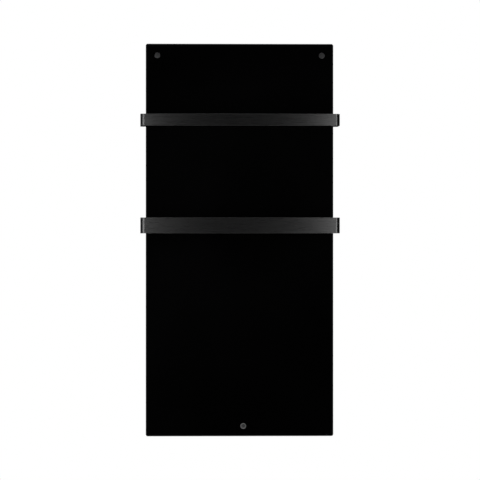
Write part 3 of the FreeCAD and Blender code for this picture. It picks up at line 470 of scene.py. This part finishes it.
def pressed_sheet(name, tint, scale, roughness):
    """A flat pressed sheet of flakes or fibres."""
    material, place = surface(name)
    flake = flakes(place, scale)
    fibre = noise(place, scale=scale * 4, detail=5.0)
    tone = tones(flake * 0.5 + fibre * 0.5, tint, darkest=0.78, palest=1.2)
    gloss = roughness + fibre * 0.1
    normal = bump(fibre, depth=0.1 * MM)
    shade(place, {"Base Color": tone, "Roughness": gloss, "Normal": normal})
    return material


def lead_insulation(name, tint, stripe=None):
    """Smooth insulation, plain or with patches of a second colour."""
    material, place = surface(name)
    cloud = noise(place, scale=120.0, detail=3.0)
    tone = tones(cloud, tint, darkest=0.85, palest=1.2)
    if stripe:
        side = step(noise(place, scale=420.0, detail=0.0), start=0.49, end=0.51)
        tone = mix(side, tone, rgba(stripe))
    gloss = 0.38 + cloud * 0.12
    shade(place, {"Base Color": tone, "Roughness": gloss})
    return material


def floor_finish(settings):
    """A plain pale floor that fades out before its edge."""
    material, place = surface("pale_floor")
    x, y, _ = parts_of(place)
    radius = (x * x + y * y) ** 0.5
    fade = step(radius, start=settings.floor_radius * 0.55, end=settings.floor_radius * 0.98)
    speck = noise(place, scale=14.0, detail=4.0)
    tone = tones(speck, settings.floor, darkest=0.985, palest=1.01)
    inputs = {"Base Color": tone, "Roughness": 0.7, "Specular IOR Level": 0.2}
    inputs |= {"Emission Color": tone, "Emission Strength": settings.floor_glow}
    ground = place.node("BsdfPrincipled", {}, inputs)
    clear = place.node("BsdfTransparent", {}, {})
    blend = place.node("MixShader", {}, {0: fade, 1: ground, 2: clear})
    place.node("OutputMaterial", {}, {"Surface": blend})
    return material


# Mesh work


def dress(material, *nodes):
    """Gives CAD nodes a finish."""
    for node in nodes:
        slots = frame["nodes"][node].data.materials
        for index in range(len(slots)):
            slots[index] = material


def linked(name, data):
    """A new object in the scene."""
    made = bpy.data.objects.new(name, data)
    bpy.context.collection.objects.link(made)
    return made


def mesh_object(name, bm, material):
    """A new object made of a bmesh, with one material."""
    mesh = bpy.data.meshes.new(name)
    bm.to_mesh(mesh)
    bm.free()
    mesh.materials.append(material)
    return linked(name, mesh)


def piece(name, bm, material, body, *nodes):
    """Makes a finished object of a bmesh, on a body, in place of CAD nodes."""
    bmesh.ops.remove_doubles(bm, verts=bm.verts, dist=WELD)
    bmesh.ops.recalc_face_normals(bm, faces=bm.faces)
    made = mesh_object(name, bm, material)
    made.data.shade_smooth()
    made.data.set_sharp_from_angle(angle=CREASE)
    made.modifiers.new("Flat faces", "WEIGHTED_NORMAL").keep_sharp = True
    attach(made, body)
    if nodes:
        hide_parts(*nodes)
    return made


def turned(bm, profile, place, steps, closed=False):
    """Spins a profile of radius and depth about an axis along Y through a place."""
    verts = [bm.verts.new((place.x + radius, depth, place.z)) for radius, depth in profile]
    ends = verts[1:] + verts[:1] if closed else verts[1:]
    edges = [bm.edges.new(pair) for pair in zip(verts, ends)]
    bmesh.ops.spin(
        bm, geom=verts + edges, cent=place, axis=ALONG_Y, angle=2 * pi, steps=steps, use_merge=True
    )
    bmesh.ops.remove_doubles(bm, verts=bm.verts, dist=WELD)


def soften(bm, width, sharper_than=radians(40)):
    """Rounds every edge that is sharper than an angle."""
    sharp = [edge for edge in bm.edges if edge.is_manifold and edge.calc_face_angle() > sharper_than]
    bmesh.ops.bevel(
        bm,
        geom=sharp,
        offset=width,
        offset_type="OFFSET",
        affect="EDGES",
        segments=2,
        profile=0.5,
        material=-1,
        clamp_overlap=True,
    )


def repeat(bm, places):
    """Copies what stands at the first place to the others."""
    geom = bm.verts[:] + bm.edges[:] + bm.faces[:]
    for place in places[1:]:
        copy = bmesh.ops.duplicate(bm, geom=geom)["geom"]
        verts = [item for item in copy if isinstance(item, bmesh.types.BMVert)]
        bmesh.ops.translate(bm, verts=verts, vec=place - places[0])


def draw(bm, face, run):
    """Draws a face out along a straight run and returns the face at its end."""
    made = bmesh.ops.extrude_face_region(bm, geom=list(face.edges) + [face])["geom"]
    verts = [item for item in made if isinstance(item, bmesh.types.BMVert)]
    bmesh.ops.translate(bm, verts=verts, vec=run)
    return next(item for item in made if isinstance(item, bmesh.types.BMFace))


def bend(bm, face, centre):
    """Draws a face round a quarter bend about an upright axis and returns the face at its end."""
    geom = list(face.verts) + list(face.edges) + [face]
    made = bmesh.ops.spin(bm, geom=geom, cent=centre, axis=ALONG_Z, angle=pi / 2, steps=14)
    return next(item for item in made["geom_last"] if isinstance(item, bmesh.types.BMFace))


class Solid:
    """One solid of a CAD node, turned about an axis along Y."""

    def __init__(self, corners):
        self.corners = corners
        low, high = (Vector(map(pick, zip(*corners))) for pick in (min, max))
        self.axis = Vector(((low.x + high.x) / 2, 0, (low.z + high.z) / 2))
        self.depths = sorted({round(corner.y, DIGITS) for corner in corners})
        self.radius = max(self.radii(depth)[-1] for depth in self.depths)

    def radii(self, depth):
        """Its radii at one depth, from small to large."""
        level = [corner - self.axis for corner in self.corners if abs(corner.y - depth) < NEAR]
        return sorted({round(arm.xz.length, DIGITS) for arm in level})


def solids(node):
    """The solids of a CAD node, from left to right and upwards."""
    bm = bmesh.new()
    bm.from_mesh(frame["nodes"][node].data)
    bmesh.ops.remove_doubles(bm, verts=bm.verts, dist=CAD_WELD)
    left, found = set(bm.verts), []
    while left:
        front, corners = [left.pop()], []
        while front:
            vert = front.pop()
            corners.append(vert.co.copy())
            near = {edge.other_vert(vert) for edge in vert.link_edges} & left
            left -= near
            front += near
        found.append(Solid(corners))
    bm.free()
    return sorted(found, key=lambda solid: (round(solid.axis.x, DIGITS), solid.axis.z))


def six_sided(angle):
    """The reach of a hexagon of unit half width in a direction."""
    return 1 / cos((angle + pi / 6) % (pi / 3) - pi / 6)


def cross_shaped(angle):
    """The reach of a cross of unit arms in a direction, with arms about half as wide as long."""
    corner, slack = pi / 12, 1e-4
    turn = abs((angle + pi / 4) % (pi / 2) - pi / 4)
    return 1 / cos(turn) if turn < corner + slack else tan(corner) / sin(turn)


def dome(inner, outer, low, high, turns):
    """A profile from an inner radius at the top to an outer one below, at angles in degrees."""
    angles = [radians(turn) for turn in turns]
    return [(inner + (outer - inner) * sin(angle), low + (high - low) * cos(angle)) for angle in angles]


def driven_screws(node, outline, reach, depth):
    """The screws of a CAD node, with domed heads, pointed ends and a recess of an outline."""
    screws = solids(node)
    one = screws[0]
    place = one.axis
    tip, seat, *_, top = one.depths
    shank, head = one.radii(seat)
    flat, point = reach * 1.12, shank * 0.8
    dome_low = seat + (top - seat) * 0.45
    profile = [(0, top - depth), (reach, top - depth), (reach, top)]
    profile += dome(flat, head, dome_low, top, turns=(30, 50, 70, 90))
    profile += [(head, seat), (shank, seat), (shank, tip + point), (0, tip)]
    bm = bmesh.new()
    turned(bm, profile, place, steps=24)
    for vert in bm.verts:
        arm = Vector((vert.co.x - place.x, 0, vert.co.z - place.z))
        if abs(arm.length - reach) < NEAR and vert.co.y > seat:
            arm *= outline(atan2(arm.z, arm.x)) / outline(0)
            vert.co.x, vert.co.z = place.x + arm.x, place.z + arm.z
    repeat(bm, [each.axis for each in screws])
    return bm


# Operators, one for each piece or group of like pieces


class HeaterOperator:
    """What the operators of the heater share."""

    bl_options = {"REGISTER"}

    @property
    def heater(self):
        """The settings of the heater."""
        return bpy.context.scene.heater


class HEATER_OT_glass(HeaterOperator, bpy.types.Operator):
    """Gives the glass its polish, its edge and its dull back"""

    bl_idname = "heater.glass"
    bl_label = "Glass"

    def execute(self, context):
        dress(black_glass(self.heater.glass), "glass_panel")
        return {"FINISHED"}


class HEATER_OT_towel_rails(HeaterOperator, bpy.types.Operator):
    """Bends the two towel rails from flat bar"""

    bl_idname = "heater.towel_rails"
    bl_label = "Towel rails"

    def execute(self, context):
        settings = self.heater.rails
        paint = satin_bar(settings)
        for node in ("towel_rail_upper", "towel_rail_lower"):
            piece(node + "_bar", self.bar(node, settings.edge), paint, "heater", node)
        return {"FINISHED"}

    def bar(self, node, edge):
        """One bar, from its left foot round the front to its right foot, sized by its CAD node."""
        low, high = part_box(node)
        middle = (low + high) / 2
        corners = [vert.co for vert in frame["nodes"][node].data.vertices]
        outer_bend = high.y - max(corner.y for corner in corners if high.x - corner.x < NEAR)
        left, right = low.x + outer_bend, high.x - outer_bend
        front, rear = low.y + outer_bend, high.y - outer_bend
        feet = [corner for corner in corners if corner.y > middle.y]
        foot_end = min(abs(corner.x) for corner in feet)
        foot_front = min(corner.y for corner in feet if abs(corner.x) - foot_end < NEAR)

        bm = bmesh.new()
        outline = [(foot_front, low.z), (high.y, low.z), (high.y, high.z), (foot_front, high.z)]
        face = bm.faces.new([bm.verts.new((-foot_end, y, z)) for y, z in outline])
        bmesh.ops.bevel(
            bm,
            geom=list(face.verts),
            offset=edge,
            affect="VERTICES",
            segments=5,
            profile=0.5,
            material=-1,
        )
        face = draw(bm, bm.faces[:][0], Vector((left + foot_end, 0, 0)))
        turns = ((left, rear), (left, front), (right, front), (right, rear))
        centres = [Vector((x, y, middle.z)) for x, y in turns]
        face = bend(bm, face, centres[0])
        for last, centre in zip(centres, centres[1:]):
            face = draw(bm, face, centre - last)
            face = bend(bm, face, centre)
        draw(bm, face, Vector((foot_end - right, 0, 0)))
        soften(bm, width=0.5 * MM, sharper_than=radians(60))
        return bm


class HEATER_OT_glass_fixings(HeaterOperator, bpy.types.Operator):
    """Turns the two caps in the top corners and finishes what clamps them"""

    bl_idname = "heater.glass_fixings"
    bl_label = "Glass fixings"

    def execute(self, context):
        metal = self.heater.metal
        caps = solids("fixing_caps")
        one = caps[0]
        front, _, seat, back = one.depths
        stud = one.radii(back)[-1]
        crown, groove, chamfer, pitch = 0.25 * MM, 0.15 * MM, 0.3 * MM, 0.8 * MM
        edge, rim, root = front + crown, one.radius - chamfer, stud * 0.86
        # The crown, the groove and the flat ring reach to these shares of the rim.
        profile = [(rim * part, front + crown * part**2) for part in (0, 0.35, 0.7, 0.86)]
        profile += [(rim * part, edge + groove) for part in (0.88, 0.91)]
        profile += [(rim * part, edge) for part in (0.93, 1)]
        profile += [(one.radius, edge + chamfer), (one.radius, seat), (stud, seat)]
        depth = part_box("fixing_nuts")[0].y
        while depth + pitch < back:
            profile += [(stud, depth), (root, depth + pitch / 2)]
            depth += pitch
        profile += [(root, back), (0, back)]
        bm = bmesh.new()
        turned(bm, profile, one.axis, steps=72)
        soften(bm, width=0.12 * MM)
        repeat(bm, [cap.axis for cap in caps])
        finish = turned_metal("dark_satin_metal", metal.cap, caps[-1].axis, roughness=0.52)
        piece("fixing_caps_turned", bm, finish, "heater", "fixing_caps")
        dress(moulded_plastic("natural_nylon", self.heater.back.nylon), "fixing_bushes")
        dress(zinc_plate("zinc_fixings", metal.zinc), "fixing_washers", "fixing_nuts")
        return {"FINISHED"}


class HEATER_OT_push_button(HeaterOperator, bpy.types.Operator):
    """Turns the bezel and the button, winds the spring and sets the standby mark"""

    bl_idname = "heater.push_button"
    bl_label = "Push button"

    def execute(self, context):
        metal = self.heater.metal
        place = solids("button_cap")[0].axis
        ring = turned_metal("bezel_metal", metal.bezel, place, roughness=0.5)
        face = turned_metal("button_metal", metal.button, place, roughness=0.5)
        piece("button_bezel_turned", self.bezel(place), ring, "heater", "button_bezel")
        piece("button_cap_turned", self.cap(place), face, "button", "button_cap")
        mark = moulded_plastic("standby_enamel", metal.mark, roughness=0.35)
        piece("standby_mark", self.mark(place), mark, "button")
        zinc = zinc_plate("zinc_button", metal.zinc)
        dress(zinc, "button_clip", "button_nut")
        coil = piece("button_spring_coil", self.coil(place), zinc, "heater", "button_spring")
        low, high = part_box("button_spring")
        press = next(joint for joint in frame["joints"] if joint["name"] == "button_press")
        keep = 1 - max(press["range_m"]) / (high.y - low.y)
        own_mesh(coil)
        dress(soft_rubber("button_rubber", self.heater.back.rubber), "button_gasket")
        dress(moulded_plastic("switch_plastic", self.heater.back.plastic), "button_switch")
        return {"FINISHED"}

    def bezel(self, place):
        """The bezel and its barrel, with the pocket for the button."""
        solid = solids("button_bezel")[0]
        front = solid.depths[0]
        flange_back, ledge_front, ledge_back, back = solid.depths[-4:]
        guide, pocket = solid.radii(ledge_front)
        bore, barrel = solid.radii(back)
        lead_in, chamfer = 0.5 * MM, 0.6 * MM
        outer = solid.radius
        profile = [(pocket + lead_in, front), (outer - chamfer, front), (outer, front + chamfer)]
        profile += [(outer, flange_back), (barrel, flange_back), (barrel, back), (bore, back)]
        profile += [(bore, ledge_back), (guide, ledge_back), (guide, ledge_front), (pocket, ledge_front)]
        profile += [(pocket, front + lead_in)]
        bm = bmesh.new()
        turned(bm, profile, place, steps=72, closed=True)
        soften(bm, width=0.12 * MM)
        return bm

    def cap(self, place):
        """The dished button and its stem."""
        solid = solids("button_cap")[0]
        front, *_, back, end = solid.depths
        stem = solid.radii(end)[-1]
        outer, chamfer, dip, rings = solid.radius, 0.35 * MM, 0.35 * MM, 6
        dish = outer - 2 * chamfer
        shares = [ring / rings for ring in range(rings + 1)]
        profile = [(dish * part, front + dip * (1 - part**2)) for part in shares]
        profile += [(outer - chamfer, front), (outer, front + chamfer), (outer, back)]
        profile += [(stem, back), (stem, end), (0, end)]
        bm = bmesh.new()
        turned(bm, profile, place, steps=72)
        return bm

    def coil(self, place):
        """The spring behind the button, a round wire drawn along a helix."""
        low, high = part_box("button_spring")
        reach = [(corner - place).xz.length for corner in solids("button_spring")[0].corners]
        wire = (max(reach) - min(reach)) / 2
        radius = max(reach) - wire
        turns, steps = 3, 96
        rise = (high.y - low.y - 2 * wire) / steps
        bm = bmesh.new()
        bmesh.ops.create_circle(bm, cap_ends=True, segments=12, radius=wire)
        bmesh.ops.translate(bm, verts=bm.verts, vec=(place.x + radius, low.y + wire, place.z))
        bmesh.ops.spin(
            bm,
            geom=bm.verts[:] + bm.edges[:] + bm.faces[:],
            cent=place,
            axis=ALONG_Y,
            dvec=(0, rise, 0),
            angle=2 * pi * turns,
            steps=steps,
        )
        return bm

    def mark(self, place):
        """An open ring and a bar, standing just proud of the dish."""
        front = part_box("button_cap")[0].y
        top, foot = front + 0.12 * MM, front + 0.4 * MM
        width, ring, half_gap = 0.9 * MM, 2.6 * MM, radians(38)
        bar_height, bar_drop = 2.6 * MM, 0.75 * MM
        inner, outer = ring - width / 2, ring + width / 2
        bm = bmesh.new()
        corners = [(inner, top), (inner, foot), (outer, foot), (outer, top)]
        section = bm.faces.new([bm.verts.new((place.x, y, place.z + radius)) for radius, y in corners])
        to_gap = Matrix.Rotation(half_gap, 3, ALONG_Y)
        bmesh.ops.rotate(bm, verts=bm.verts, cent=place, matrix=to_gap)
        geom = list(section.verts) + list(section.edges) + [section]
        sweep = 2 * pi - 2 * half_gap
        bmesh.ops.spin(bm, geom=geom, cent=place, axis=ALONG_Y, angle=sweep, steps=44)
        bar = bmesh.ops.create_cube(bm, size=1)["verts"]
        bmesh.ops.scale(bm, verts=bar, vec=(width, foot - top, bar_height))
        middle = Vector((place.x, (top + foot) / 2, place.z + ring - bar_drop))
        bmesh.ops.translate(bm, verts=bar, vec=middle)
        soften(bm, width=0.05 * MM, sharper_than=radians(60))
        return bm


class HEATER_OT_back_pan(HeaterOperator, bpy.types.Operator):
    """Paints the pan and finishes its seal"""

    bl_idname = "heater.back_pan"
    bl_label = "Back pan"

    def execute(self, context):
        back = self.heater.back
        dress(powder_coat("grey_powder_coat", back.pan, roughness=0.5), "back_pan")
        dress(soft_rubber("seal_silicone", back.rubber, roughness=0.6), "pan_seal")
        return {"FINISHED"}


class HEATER_OT_hook_rails(HeaterOperator, bpy.types.Operator):
    """Finishes the two hook rails and sets the rivets"""

    bl_idname = "heater.hook_rails"
    bl_label = "Hook rails"

    def execute(self, context):
        zinc = zinc_plate("zinc_rails", self.heater.metal.zinc)
        dress(zinc, "wall_rail", "hanger_rail")
        rivets = solids("hanger_rivets")
        one = rivets[0]
        tip, tail_front, seat, *_, top = one.depths
        shank, tail = one.radii(tail_front)
        hollow, hollow_floor = 1.1 * MM, 0.8 * MM
        floor_deep, middle_deep = 0.7 * MM, 0.9 * MM
        tail_slope, tail_round = 0.4 * MM, 0.6 * MM
        profile = [(0, top - middle_deep), (hollow_floor, top - floor_deep), (hollow, top)]
        profile += dome(hollow, one.radius, seat, top, turns=(35, 55, 75, 90))
        profile += [(shank, seat), (shank, tail_front), (tail, tail_front - tail_slope)]
        profile += [(tail, tip + tail_round), (shank, tip), (0, tip)]
        bm = bmesh.new()
        turned(bm, profile, one.axis, steps=40)
        repeat(bm, [rivet.axis for rivet in rivets])
        bright = zinc_plate("zinc_rivets", self.heater.metal.zinc, roughness=0.28)
        piece("hanger_rivets_set", bm, bright, "heater", "hanger_rivets")
        return {"FINISHED"}


class HEATER_OT_wall_spacers(HeaterOperator, bpy.types.Operator):
    """Moulds the two spacers and drives their screws"""

    bl_idname = "heater.wall_spacers"
    bl_label = "Wall spacers"

    def execute(self, context):
        back = self.heater.back
        spacers = solids("wall_spacers")
        one = spacers[0]
        foot, *_, top = one.depths
        bore, base = one.radii(foot)
        well, tip = one.radii(top)
        floor = next(depth for depth in one.depths[1:] if one.radii(depth)[0] == bore)
        flange, slope, step_in = 1.5 * MM, 1.0 * MM, 0.7 * MM
        profile = [(bore, foot), (base, foot), (base, foot + flange)]
        profile += [(base - step_in, foot + flange + slope), (tip, top)]
        profile += [(well, top), (well, floor), (bore, floor)]
        bm = bmesh.new()
        turned(bm, profile, one.axis, steps=56, closed=True)
        soften(bm, width=0.3 * MM)
        repeat(bm, [spacer.axis for spacer in spacers])
        plastic = moulded_plastic("spacer_plastic", back.plastic)
        piece("wall_spacers_moulded", bm, plastic, "heater", "wall_spacers")
        dress(soft_rubber("pad_rubber", back.rubber), "spacer_pads")
        zinc = zinc_plate("zinc_spacer_screws", self.heater.metal.zinc)
        bm = driven_screws("spacer_screws", cross_shaped, reach=2.3 * MM, depth=1.3 * MM)
        piece("spacer_screws_driven", bm, zinc, "heater", "spacer_screws")
        return {"FINISHED"}


class HEATER_OT_rail_fastenings(HeaterOperator, bpy.types.Operator):
    """Drives the screws in the feet of the towel rails"""

    bl_idname = "heater.rail_fastenings"
    bl_label = "Rail fastenings"

    def execute(self, context):
        zinc = zinc_plate("zinc_rail_screws", self.heater.metal.zinc, roughness=0.3)
        bm = driven_screws("rail_screws", six_sided, reach=1.35 * MM, depth=1.6 * MM)
        piece("rail_screws_driven", bm, zinc, "heater", "rail_screws")
        dress(zinc, "rail_washers", "rivet_nuts")
        dress(soft_rubber("rail_pad_rubber", self.heater.back.rubber), "rail_pads")
        return {"FINISHED"}


class HEATER_OT_control_box(HeaterOperator, bpy.types.Operator):
    """Finishes the control box, its cover, gasket and screws"""

    bl_idname = "heater.control_box"
    bl_label = "Control box"

    def execute(self, context):
        back = self.heater.back
        dress(moulded_plastic("box_plastic", back.plastic), "control_box", "control_box_cover")
        dress(soft_rubber("box_rubber", back.rubber), "cover_gasket", "wire_grommet")
        zinc = zinc_plate("zinc_box_screws", self.heater.metal.zinc)
        bm = driven_screws("cover_screws", cross_shaped, reach=1.7 * MM, depth=1.0 * MM)
        piece("cover_screws_driven", bm, zinc, "heater", "cover_screws")
        bm = driven_screws("lug_screws", cross_shaped, reach=2.3 * MM, depth=1.4 * MM)
        piece("lug_screws_driven", bm, zinc, "heater", "lug_screws")
        return {"FINISHED"}


class HEATER_OT_cable_gland(HeaterOperator, bpy.types.Operator):
    """Finishes the cable gland"""

    bl_idname = "heater.cable_gland"
    bl_label = "Cable gland"

    def execute(self, context):
        back = self.heater.back
        plastic = moulded_plastic("gland_plastic", back.plastic, roughness=0.42)
        dress(plastic, "gland_body", "gland_nut", "gland_locknut")
        dress(soft_rubber("gland_rubber", back.rubber), "gland_washer", "gland_seal")
        return {"FINISHED"}


class HEATER_OT_heating_element(HeaterOperator, bpy.types.Operator):
    """Finishes the layers of the heating element and its cut-outs"""

    bl_idname = "heater.heating_element"
    bl_label = "Heating element"

    def execute(self, context):
        element = self.heater.element
        metal = self.heater.metal
        film = pressed_sheet("amber_film", element.film, scale=90.0, roughness=0.3)
        dress(film, "heating_film")
        dress(bare_copper("etched_copper", metal.copper), "heating_track", "element_tabs")
        mica = pressed_sheet("mica_flakes", element.mica, scale=220.0, roughness=0.45)
        dress(mica, "mica_sheet")
        dress(crinkled_foil("reflector_foil", metal.foil), "reflector_foil")
        board = pressed_sheet("mineral_fibre", element.board, scale=400.0, roughness=0.85)
        dress(board, "insulation_board")
        dress(moulded_plastic("cutout_base", element.cutout), "thermal_cutouts")
        return {"FINISHED"}


class HEATER_OT_wiring(HeaterOperator, bpy.types.Operator):
    """Finishes the terminals and the leads"""

    bl_idname = "heater.wiring"
    bl_label = "Wiring"

    def execute(self, context):
        element = self.heater.element
        zinc = zinc_plate("zinc_terminals", self.heater.metal.zinc)
        plastic = moulded_plastic("terminal_plastic", self.heater.back.terminal, roughness=0.4)
        dress(plastic, "terminal_block")
        dress(zinc, "terminal_screws", "earth_screw")
        brown = lead_insulation("brown_insulation", element.live)
        dress(brown, "lead_live", "cutout_leads", "switch_leads")
        dress(lead_insulation("blue_insulation", element.neutral), "lead_neutral")
        dress(lead_insulation("earth_insulation", element.earth, element.stripe), "lead_earth")
        return {"FINISHED"}


class HEATER_OT_stage(HeaterOperator, bpy.types.Operator):
    """Sets the floor, the lights and the camera"""

    bl_idname = "heater.stage"
    bl_label = "Stage"

    def execute(self, context):
        settings = self.heater.stage
        context.scene.view_settings.view_transform = "Standard"
        self.floor(settings)
        self.sky()
        # The place of each softbox, then its width and height
        lights = {
            "left": ((-0.41, -0.65, -0.32), (0.15, 0.9)),
            "right": ((0.4, -0.65, -0.32), (0.24, 0.9)),
            "left_side": ((-1.3, -0.8, -0.2), (0.6, 1.2)),
            "right_side": ((1.3, -0.8, -0.2), (0.6, 1.2)),
            "top": ((0.0, -0.1, 1.7), (2.0, 1.4)),
            "back_key": ((1.2, 1.5, 1.35), (1.2, 1.2)),
            "back_fill": ((-1.2, 1.5, 1.35), (1.2, 1.2)),
        }
        for name, (spot, size) in lights.items():
            self.softbox(name + "_light", spot, size, getattr(settings, name + "_power"))
        self.camera(settings)
        return {"FINISHED"}

    def floor(self, settings):
        """A round floor some way below the glass."""
        bm = bmesh.new()
        bmesh.ops.create_circle(bm, cap_ends=True, segments=96, radius=settings.floor_radius)
        bmesh.ops.translate(bm, verts=bm.verts, vec=(0, 0, glass_low.z - settings.floor_drop))
        floor = mesh_object("floor", bm, floor_finish(settings))

    def sky(self):
        """White behind the object, and a dim room, paler above its back, for everything else."""
        world = bpy.data.worlds.new("studio")
        bpy.context.scene.world = world
        direction = begin(world, "TexCoord", "Generated")
        _, y, z = parts_of(direction)
        seen = direction.node("LightPath", {}, {}, "Is Camera Ray")
        pale = step(y, start=0.0, end=0.6) * step(z, start=0.12, end=0.5)
        room = tones(pale, WHITE, darkest=0.006, palest=0.35)
        white = direction.node("Background", {}, {"Color": rgba(WHITE), "Strength": 1.0})
        dim = direction.node("Background", {}, {"Color": room, "Strength": 1.0})
        both = direction.node("MixShader", {}, {0: seen, 1: dim, 2: white})
        direction.node("OutputWorld", {}, {"Surface": both})

    def softbox(self, name, spot, size, watts):
        """A rectangular light with feathered edges, aimed at the glass, which the camera doesn't see."""
        light = bpy.data.lights.new(name, "AREA")
        light.shape = "RECTANGLE"
        light.size, light.size_y = size
        light.energy = watts
        across = begin(light, "NewGeometry", "Parametric")
        u, v, _ = parts_of(across)
        feather = step(u * (1 - u), start=0.0, end=0.2) * step(v * (1 - v), start=0.0, end=0.16)
        shown = tones(feather, WHITE, darkest=0.0, palest=1.0)
        glow = across.node("Emission", {}, {"Color": shown, "Strength": 1.6})
        across.node("OutputLight", {}, {"Surface": glow})
        lamp = linked(name, light)
        lamp.location = spot
        lamp.rotation_euler = (glass_middle - Vector(spot)).to_track_quat("-Z", "Y").to_euler()
        lamp.visible_camera = False

    def camera(self, settings):
        """A long lens at the height of the middle of the glass."""
        view = bpy.data.cameras.new("camera")
        view.sensor_width = 36
        view.lens = view.sensor_width * settings.camera_distance / settings.picture_width
        camera = linked("camera", view)
        aside = AIM_SHIFT_PIXELS * settings.picture_width / PICTURE_PIXELS
        aim = Vector((glass_middle.x + aside, glass_low.y, glass_middle.z))
        back = Vector((-sin(settings.orbit), -cos(settings.orbit), 0))
        camera.location = aim + back * settings.camera_distance
        camera.rotation_euler = (-back).to_track_quat("-Z", "Y").to_euler()
        bpy.context.scene.camera = camera


PIECES = (
    HEATER_OT_glass,
    HEATER_OT_towel_rails,
    HEATER_OT_glass_fixings,
    HEATER_OT_push_button,
    HEATER_OT_back_pan,
    HEATER_OT_hook_rails,
    HEATER_OT_wall_spacers,
    HEATER_OT_rail_fastenings,
    HEATER_OT_control_box,
    HEATER_OT_cable_gland,
    HEATER_OT_heating_element,
    HEATER_OT_wiring,
    HEATER_OT_stage,
)
GROUPS = (
    GlassSettings,
    RailSettings,
    MetalSettings,
    BackSettings,
    ElementSettings,
    StageSettings,
    HeaterSettings,
)


class HEATER_PT_sidebar(bpy.types.Panel):
    """Lists the pieces of the heater with their sizes and colours"""

    bl_idname = "HEATER_PT_sidebar"
    bl_label = "Glass panel heater"
    bl_space_type = "VIEW_3D"
    bl_region_type = "UI"
    bl_category = "Heater"

    def draw(self, context):
        column = self.layout.column(align=True)
        for operator in PIECES:
            column.operator(operator.bl_idname)
        heater = context.scene.heater
        for group in heater.__annotations__:
            box = self.layout.box()
            box.label(text=group.capitalize())
            settings = getattr(heater, group)
            for name in settings.__annotations__:
                box.prop(settings, name)


def register():
    """Registers the settings, the operators and the panel."""
    for item in GROUPS + PIECES + (HEATER_PT_sidebar,):
        bpy.utils.register_class(item)
    bpy.types.Scene.heater = PointerProperty(type=HeaterSettings)


def unregister():
    """Takes away what register added."""
    del bpy.types.Scene.heater
    for item in reversed(GROUPS + PIECES + (HEATER_PT_sidebar,)):
        bpy.utils.unregister_class(item)


def main():
    """Makes every piece and the stage."""
    register()
    for operator in PIECES:
        group, name = operator.bl_idname.split(".")
        getattr(getattr(bpy.ops, group), name)()


if __name__ == "__main__":
    main()
